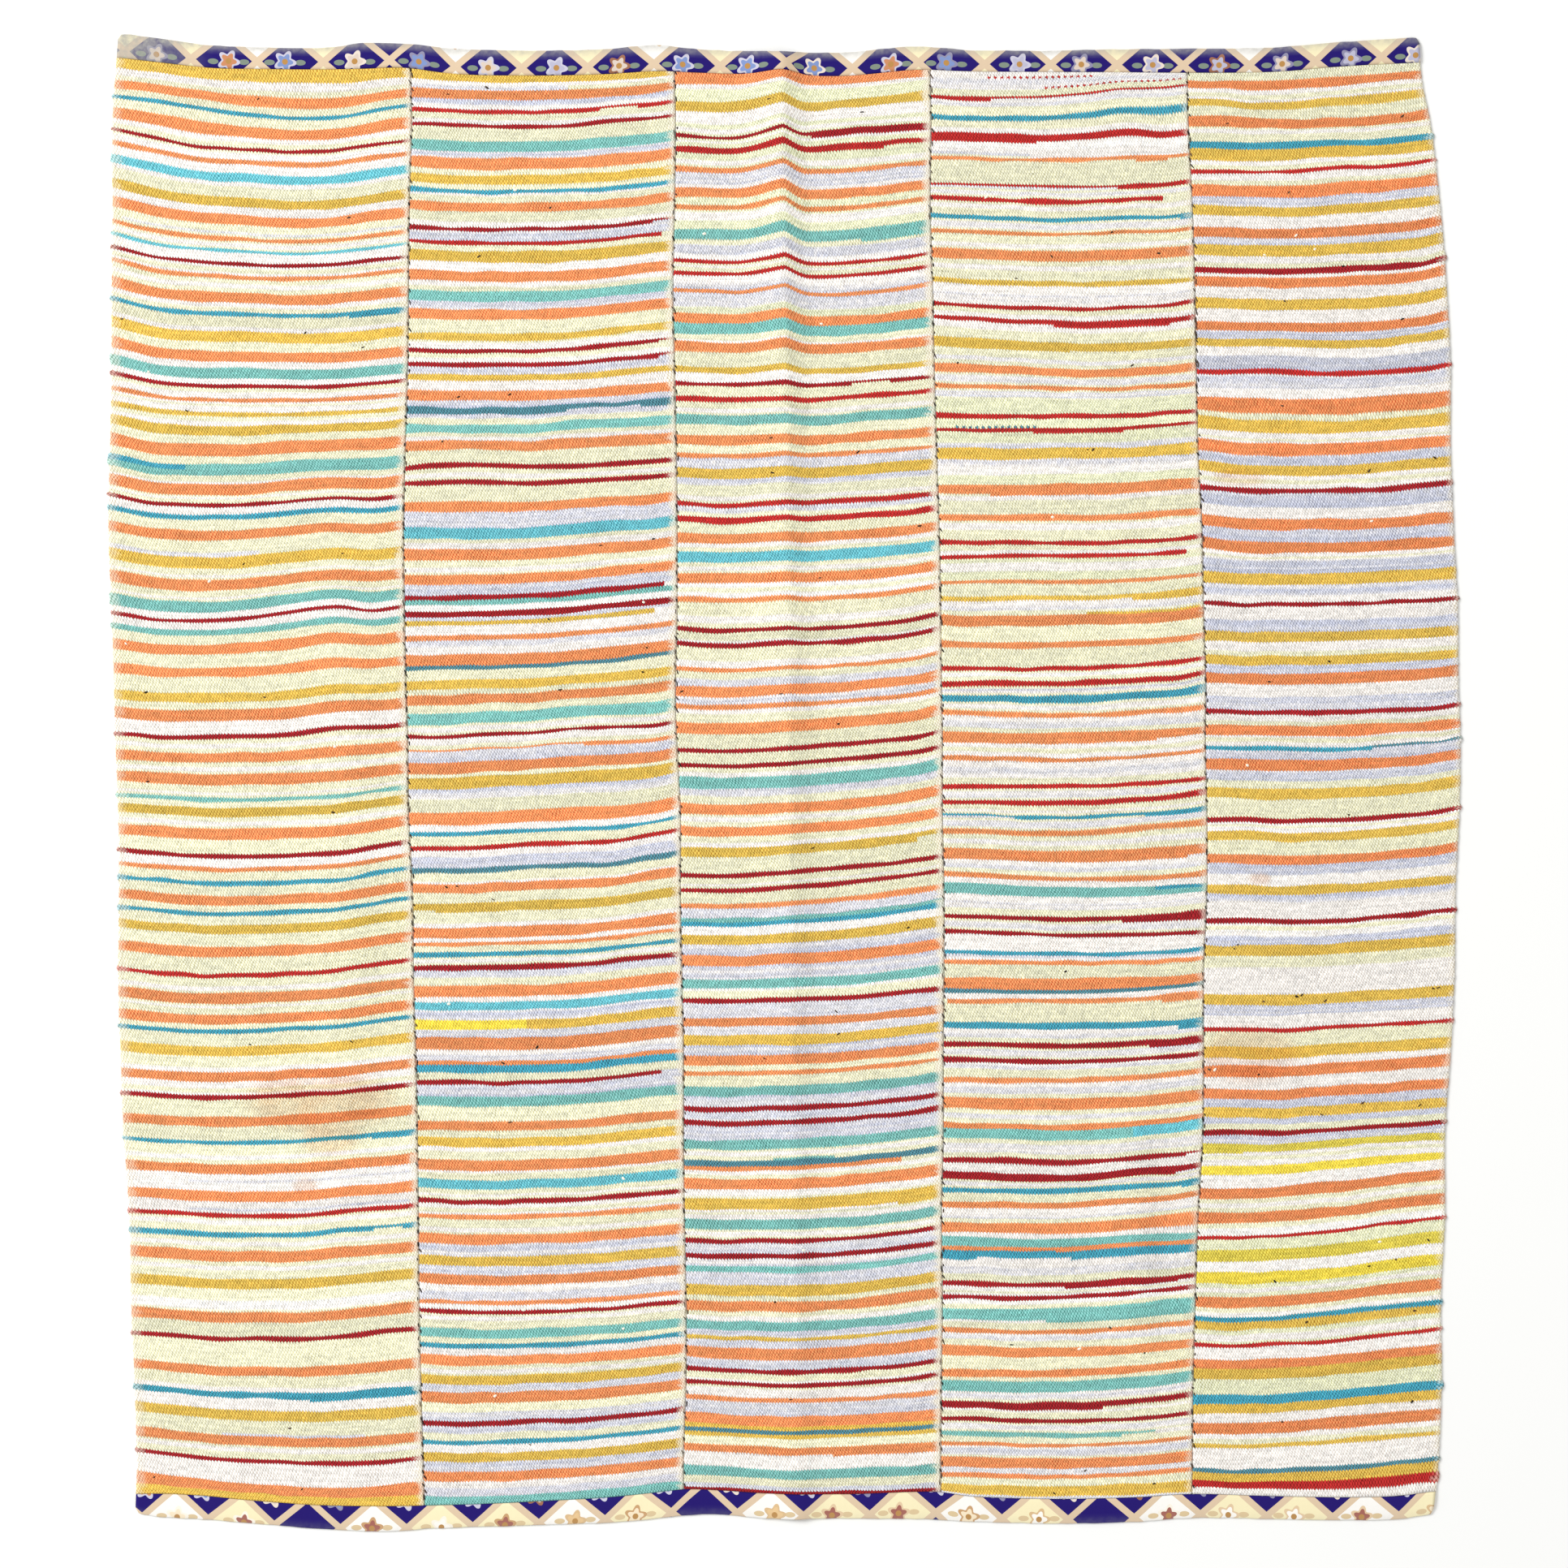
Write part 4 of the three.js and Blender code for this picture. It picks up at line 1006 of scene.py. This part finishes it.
# two leaves, mirrored, beside the flower
leaf_x = add_node(tree, MATH, {0: spot_x}, operation="ABSOLUTE")
leaf_at = add_node(tree, COMBINE, {0: leaf_x, 1: spot.outputs["Y"]})
leaf_from = add_node(tree, VECTOR, {0: leaf_at, 1: LEAF_AT}, operation="SUBTRACT")
leaf_size = add_node(tree, VECTOR, {0: leaf_from, 1: LEAF_SCALE}, operation="MULTIPLY")
leaf_far = add_node(tree, VECTOR, {0: leaf_size}, operation="LENGTH")
in_leaf = add_node(tree, MATH, {0: leaf_far.outputs["Value"], 1: 1.0}, operation="LESS_THAN")

RAMPS = {
    "navy_petal": ["#C98A62", "#B9B7CC", "#D9C9BC", "#7F93C4"],
    "navy_rim": ["#8D8AA6", "#E7D9CB", "#9C6A50", "#C9C6D6"],
    "pale_petal": ["#FBF7EE", "#E5C391", "#F4E3C4", "#A4665A"],
    "pale_rim": ["#D9B98C", "#F6EFDF", "#C89F72", "#E2C7A2"],
}
picked = {}
for index, (name, colours) in enumerate(RAMPS.items()):
    ramp = add_node(tree, "ShaderNodeValToRGB", {0: chances.outputs[(index + 1) % 3]})
    ramp.color_ramp.interpolation = "CONSTANT"
    stops = ramp.color_ramp.elements
    while len(stops) < len(colours):
        stops.new(0.5)
    for step, colour in enumerate(colours):
        stops[step].position = step / len(colours)
        stops[step].color = linear(colour)
    picked[name] = ramp

# pale lozenges run white, cream, cream, and each sixth one is navy too
lozenge = add_node(tree, SEPARATE, {0: number})
in_three = add_node(tree, MATH, {0: lozenge, 1: 3.0}, operation="FLOORED_MODULO")
is_cream = add_node(tree, MATH, {0: in_three, 1: 0.5}, operation="GREATER_THAN")
pale_ground = add_node(tree, MIX, {0: is_cream, 6: linear("#F7F4EE"), 7: linear("#F4E9BF")},
                       data_type="RGBA")
in_six = add_node(tree, MATH, {0: lozenge, 1: 6.0}, operation="FLOORED_MODULO")
is_sixth = add_node(tree, MATH, {0: in_six, 1: 2.0, 2: 0.5}, operation="COMPARE")
also_navy = add_node(tree, MATH, {0: is_sixth, 1: is_pale}, operation="MULTIPLY")

layers = {}
for ground, base, petal, rim, leaf in (
        ("navy", linear(NAVY), "navy_petal", "navy_rim", "#7F8C7E"),
        ("pale", pale_ground.outputs[2], "pale_petal", "pale_rim", "#DCC49A")):
    colour = base
    for inside, paint in ((in_leaf, linear(leaf)), (in_flower, picked[rim]), (in_petal, picked[petal]),
                          (in_eye, linear("#B98A4E"))):
        colour = add_node(tree, MIX, {0: inside, 6: colour, 7: paint}, data_type="RGBA").outputs[2]
    layers[ground] = colour
lozenges = add_node(tree, MIX, {0: is_pale, 6: layers["navy"], 7: layers["pale"]}, data_type="RGBA")
grounds = add_node(tree, MIX, {0: also_navy, 6: lozenges.outputs[2], 7: linear(NAVY)},
                   data_type="RGBA")
trellis = add_node(tree, MIX, {0: on_strip, 6: grounds.outputs[2], 7: linear("#DCC4A6")},
                   data_type="RGBA")

# wear takes the colour out in flecks, and the threads give a fine grain
where = add_node(tree, "ShaderNodeTexCoord")
flecks = add_node(tree, NOISE, {"Vector": where.outputs["Object"], "Scale": 160.0, "Detail": 4.0})
wear = add_node(tree, ATTRIBUTE, attribute_name="wear")
worn = add_node(tree, MATH, {0: wear.outputs["Fac"], 1: flecks}, operation="MULTIPLY")
worn_more = add_node(tree, MATH, {0: worn, 1: 1.35}, operation="MULTIPLY", use_clamp=True)
faded = add_node(tree, MIX, {0: worn_more, 6: trellis.outputs[2], 7: linear("#A9A79F")},
                 data_type="RGBA")
tree.links.new(faded.outputs[2], shader.inputs["Base Color"])
# true threads are about 0.4 mm apart; drawn coarser, so that the grain shows
THREADS_PER_M = 900.0
WAVES_PER_SCALE = 20
thread_scale = THREADS_PER_M / WAVES_PER_SCALE
warp_wave, weft_wave = [
    add_node(tree, "ShaderNodeTexWave", {"Vector": where.outputs["Object"], "Scale": thread_scale},
             bands_direction=way) for way in "XY"]
threads = add_node(tree, MATH, {0: warp_wave.outputs["Fac"], 1: weft_wave.outputs["Fac"]},
                   operation="MULTIPLY")
grain = add_node(tree, "ShaderNodeBump", {"Strength": 0.25, "Distance": 0.0002, "Height": threads})
tree.links.new(grain.outputs[0], shader.inputs["Normal"])
print("printed cotton:", len(tree.nodes), "nodes")

# %% [markdown]
# Each binding says where its print starts, so that the lozenges fall as they do on the cloth.

# %% Fold the two bindings
TOP_PRINT = (276.0, (9.0, 9.0))
BOTTOM_PRINT = (175.0, (-7.0, -11.0))
bindings = {
    "binding_top": place_piece("binding_top_cotton", binding_sheet("top", 1, *TOP_PRINT), cotton),
    "binding_bottom": place_piece(
        "binding_bottom_cotton", binding_sheet("bottom", -1, *BOTTOM_PRINT), cotton),
}
for piece in bindings.values():
    print(piece.name, len(piece.data.polygons), "faces")

# %% [markdown]
# ## The hand sewing
# The seams are oversewn in dark thread, so a row of short slanting stitches shows on either side
# of each. A row of stitches is what Geometry Nodes does best: a curve along the seam is cut into
# points, each point moves a little to one side, and a small rounded stitch is set on it with its
# own slant and length. The seed is fixed, so every run sews the same stitches.

# %% Stitch nodes
# how far a stitch strays in metres, its least slant, its least and greatest size as shares of the
# set one, and the share of stitches that show
JITTER = (0.0007, 0.002, 0.0002)
LEAST_SLANT = -0.1
SMALLEST = (0.7, 0.55, 0.8)
LARGEST = (1.2, 1.5, 1.1)
SHOWN = 0.75


def new_tree(name, **inputs):
    """A node tree with named inputs: the tree, its sockets, what they give, and its end."""
    tree = bpy.data.node_groups.new(name, "GeometryNodeTree")
    sockets = {}
    for label, kind in inputs.items():
        socket = tree.interface.new_socket(label, in_out="INPUT", socket_type="NodeSocket" + kind)
        sockets[label] = socket
    tree.interface.new_socket("Result", in_out="OUTPUT", socket_type="NodeSocketGeometry")
    return tree, sockets, add_node(tree, "NodeGroupInput").outputs, add_node(tree, "NodeGroupOutput")


def close_tree(tree, instances, material, result):
    """Make the instances real, smooth them, give them a material and hand them out."""
    real = add_node(tree, "GeometryNodeRealizeInstances", {0: instances})
    soft = add_node(tree, "GeometryNodeSetShadeSmooth", {0: real})
    dressed = add_node(tree, "GeometryNodeSetMaterial", {0: soft, "Material": material})
    tree.links.new(dressed.outputs[0], result.inputs[0])


stitch_tree, sockets, given, result = new_tree(
    "seam_stitches", Seams="Geometry", Spacing="Float", Length="Float", Width="Float", Aside="Float",
    Slant="Float", Seed="Int", Thread="Material")
line = add_node(stitch_tree, "GeometryNodeMeshToCurve", {0: given["Seams"]})
dots = add_node(stitch_tree, "GeometryNodeCurveToPoints", {"Curve": line, "Length": given["Spacing"]},
                mode="LENGTH")
index = add_node(stitch_tree, "GeometryNodeInputIndex")
odd = add_node(stitch_tree, MATH, {0: index, 1: 2.0}, operation="MODULO")
side = add_node(stitch_tree, MATH, {0: odd, 1: 2.0, 2: -1.0}, operation="MULTIPLY_ADD")
aside = add_node(stitch_tree, MATH, {0: side, 1: given["Aside"]}, operation="MULTIPLY")
aside_vector = add_node(stitch_tree, COMBINE, {0: aside})
jitter = add_node(stitch_tree, RANDOM, {0: tuple(-j for j in JITTER), 1: JITTER, "Seed": given["Seed"]},
                  data_type="FLOAT_VECTOR")
move = add_node(stitch_tree, VECTOR, {0: aside_vector, 1: jitter}, operation="ADD")
moved_dots = add_node(stitch_tree, "GeometryNodeSetPosition", {"Geometry": dots, "Offset": move})
facing = add_node(stitch_tree, "FunctionNodeAlignRotationToVector", {"Vector": dots.outputs["Tangent"]},
                  axis="Y", pivot_axis="Z")
lean = add_node(stitch_tree, RANDOM, {2: LEAST_SLANT, 3: given["Slant"], "Seed": given["Seed"]},
                data_type="FLOAT")
lean_vector = add_node(stitch_tree, COMBINE, {2: lean.outputs[1]})
lean_turn = add_node(stitch_tree, "FunctionNodeEulerToRotation", {0: lean_vector})
turned = add_node(stitch_tree, "FunctionNodeRotateRotation", {0: facing, 1: lean_turn},
                  rotation_space="LOCAL")
stitch_size = add_node(stitch_tree, COMBINE, {0: given["Width"], 1: given["Length"],
                                                             2: given["Width"]})
uneven = add_node(stitch_tree, RANDOM, {0: SMALLEST, 1: LARGEST, "Seed": given["Seed"]},
                  data_type="FLOAT_VECTOR")
sized = add_node(stitch_tree, VECTOR, {0: stitch_size, 1: uneven}, operation="MULTIPLY")
shown = add_node(stitch_tree, RANDOM, {"Probability": SHOWN, "Seed": given["Seed"]},
                 data_type="BOOLEAN")
bead_form = add_node(stitch_tree, "GeometryNodeMeshUVSphere", {"Segments": 8, "Rings": 6, "Radius": 0.5})
sewn = add_node(stitch_tree, "GeometryNodeInstanceOnPoints", {
    "Points": moved_dots, "Selection": shown.outputs[3], "Instance": bead_form.outputs["Mesh"],
    "Rotation": turned, "Scale": sized})
close_tree(stitch_tree, sewn, given["Thread"], result)
print("stitch tree:", len(stitch_tree.nodes), "nodes")

# %% [markdown]
# The thread is waxed cotton, nearly black, with brown where it has faded.

# %% Thread and stitches
thread, tree, shader = matt_material("dark_waxed_cotton_thread", 0.8, 0.25)
where = add_node(tree, "ShaderNodeTexCoord")
fade = add_node(tree, NOISE, {"Vector": where.outputs["Object"], "Scale": 45.0, "Detail": 3.0})
shade = add_node(tree, RANGE, {0: fade, 1: 0.45, 2: 0.75})
brown = add_node(tree, MIX, {0: shade, 6: linear("#1E1712"), 7: linear("#6B5442")}, data_type="RGBA")
tree.links.new(brown.outputs[2], shader.inputs["Base Color"])
twist = add_node(tree, NOISE, {"Vector": where.outputs["Object"], "Scale": 1800.0})
twist_bump = add_node(tree, "ShaderNodeBump", {"Strength": 0.4, "Distance": 0.0002, "Height": twist})
tree.links.new(twist_bump.outputs[0], shader.inputs["Normal"])

SEAM_STEP = 10.0
SEAM_STOPS = 2
NEAR_END = 880.0
# a seam that was sewn twice, and where the second row starts and stops
CLOSE_STITCHES = (3, 624, 504)


def seam_points(seam, top, bottom):
    y = np.arange(top, bottom, -SEAM_STEP)
    x = long_line(seam + 1, y)
    return np.stack([x, y, fold_height(x, y) + WEAVE_THICK - FRONT_SINK], -1) * MM


chains = []
for seam in range(4):
    top = float(end_line("top", SEWN, long_line(seam + 1, NEAR_END)))
    bottom = float(end_line("bottom", SEWN, long_line(seam + 1, -NEAR_END)))
    chains.append(seam_points(seam, top - SEAM_STOPS, bottom + SEAM_STOPS))
chains.append(seam_points(*CLOSE_STITCHES))
seam_mesh = bpy.data.meshes.new("seam_lines")
offsets = np.cumsum([0] + [len(c) for c in chains])
seam_edges = [(o + i, o + i + 1) for o, c in zip(offsets, chains) for i in range(len(c) - 1)]
seam_mesh.from_pydata(np.concatenate(chains).tolist(), seam_edges, [])
seam_lines = place_piece("seam_lines", seam_mesh)


def grown(source, tree, values, name):
    """The plain mesh piece that a node tree makes from a source object, which is then removed."""
    modifier = source.modifiers.new("nodes", "NODES")
    modifier.node_group = tree
    for socket, value in values.items():
        modifier[socket.identifier] = value
    source.update_tag()
    made = bpy.data.meshes.new_from_object(source.evaluated_get(bpy.context.evaluated_depsgraph_get()))
    source.modifiers.remove(modifier)
    bpy.data.objects.remove(source)
    made.name = name
    return place_piece(name, made)


stitches = grown(seam_lines, stitch_tree, {
    sockets["Spacing"]: 0.0082, sockets["Length"]: 0.0058, sockets["Width"]: 0.0017,
    sockets["Aside"]: 0.0013, sockets["Slant"]: 0.7, sockets["Seed"]: 11, sockets["Thread"]: thread},
    "seam_stitches")
print("stitches:", len(stitches.data.polygons), "faces")

# %% [markdown]
# ## Rag ends
# Torn rag frays, and where one strip runs out its end stands up a little between the rows. Some are
# pale tufts and some are dark flecks of seam thread left in the rag. Their places are charted, and
# a second small node tree sets a rounded bit of cloth on each, with its own turn and size.

# %% Chart and nodes for the rag ends
DARK_ENDS = """
230 506  318 122  430 268  376 410  447 428  150 393  300 695  422 682  182 963  308 1287  433 1283
411 1001  326 859  180 853  190 1820  372 1835  357 1760  600 108  552 116  678 256  590 316
565 489  628 486  545 544  740 672  805 664  790 702  797 798  792 828  690 850  676 763  550 1093
563 1092  607 1108  662 1290  620 1310  628 1383  653 1780  947 123  1062 138  950 540  1057 557
952 583  1010 712  840 852  962 855  1033 892  1133 648  1001 1045  1119 1143  1033 1274  1030 1246
942 1304  955 1604  974 1724  1296 316  1428 312  1180 447  1370 286  1252 343  1395 450  1340 554
1347 554  1313 1197  1246 1657  1368 1636  1410 1667  1337 1812  1422 1828  1299 1840  1728 143
1588 237  1583 371  1728 393  1512 152  1580 500  1687 580  1768 564  1564 840  1638 815  1521 1169
1525 1164  1557 1234  1598 1228  1604 1226  1633 1233  1766 1218  1772 1217  1490 1318  1551 1324
1628 1373  1679 1359  1749 1362  1571 1579  1687 1560  1720 1552  1760 1528  1743 1615  1610 1629
1740 1727  1580 1752  1655 328  1662 1004
"""
PALE_ENDS = """
183 458  322 612  366 813  265 708  258 716  155 793  413 920  635 234  645 1614  768 1452  768 1637
610 1720  553 1237  793 742  868 288  1012 399  968 1002  990 1540  1215 243  1312 391  1297 637
1330 1662  1250 645  1558 314  1597 290  1620 307  1497 1318  1700 1530  1690 642  1537 943
"""
end_tree, end_sockets, given, result = new_tree(
    "rag_ends", Places="Geometry", Smallest="Vector", Largest="Vector", Seed="Int", Cloth="Material")
places = add_node(end_tree, "GeometryNodeMeshToPoints", {0: given["Places"]})
turn = add_node(end_tree, RANDOM, {0: (-0.2, -0.2, -0.9), 1: (0.2, 0.2, 0.9), "Seed": given["Seed"]},
                data_type="FLOAT_VECTOR")
size = add_node(end_tree, RANDOM, {0: given["Smallest"], 1: given["Largest"], "Seed": given["Seed"]},
                data_type="FLOAT_VECTOR")
bit = add_node(end_tree, "GeometryNodeMeshIcoSphere", {"Radius": 0.5, "Subdivisions": 2})
set_out = add_node(end_tree, "GeometryNodeInstanceOnPoints", {
    "Points": places, "Instance": bit.outputs["Mesh"], "Rotation": turn, "Scale": size})
close_tree(end_tree, set_out, given["Cloth"], result)
print("rag end tree:", len(end_tree.nodes), "nodes")

# %% [markdown]
# The pale tufts are loose cream cotton, matt and fuzzy. The dark ones share the sewing thread.

# %% Set the rag ends
tuft, tree, shader = matt_material("loose_cream_cotton", 0.95, 0.1)
shader.inputs["Base Color"].default_value = linear("#FBF6E6")
where = add_node(tree, "ShaderNodeTexCoord")
fuzz = add_node(tree, NOISE, {"Vector": where.outputs["Object"], "Scale": 900.0, "Detail": 3.0})
fuzz_bump = add_node(tree, "ShaderNodeBump", {"Strength": 0.6, "Distance": 0.0006, "Height": fuzz})
tree.links.new(fuzz_bump.outputs[0], shader.inputs["Normal"])


def rag_ends(name, chart, smallest, largest, cloth, seed):
    at = np.array(chart.split(), float).reshape(-1, 2)
    x, y = at[:, 0] + CHART_LEFT, CHART_TOP - at[:, 1]
    points = np.stack([x, y, fold_height(x, y) + WEAVE_THICK], -1) * MM
    mesh = bpy.data.meshes.new(name)
    mesh.from_pydata(points.tolist(), [], [])
    return grown(place_piece(name + "_places", mesh), end_tree, {
        end_sockets["Smallest"]: smallest, end_sockets["Largest"]: largest, end_sockets["Seed"]: seed,
        end_sockets["Cloth"]: cloth}, name)


# smallest and largest sizes in metres, and the seed
DARK_SIZES = ((0.003, 0.0013, 0.0012), (0.0065, 0.0026, 0.002))
PALE_SIZES = ((0.003, 0.002, 0.0015), (0.006, 0.0035, 0.0022))
dark_ends = rag_ends("dark_rag_ends", DARK_ENDS, *DARK_SIZES, thread, 3)
pale_ends = rag_ends("pale_rag_ends", PALE_ENDS, *PALE_SIZES, tuft, 5)
print("rag ends:", len(dark_ends.data.polygons) + len(pale_ends.data.polygons), "faces")

for number, piece in enumerate(panels):
    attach(piece, BODY)
    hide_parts(f"panel_{number + 1}")
for node, piece in bindings.items():
    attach(piece, BODY)
    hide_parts(node)
for piece in (stitches, dark_ends, pale_ends):
    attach(piece, BODY)
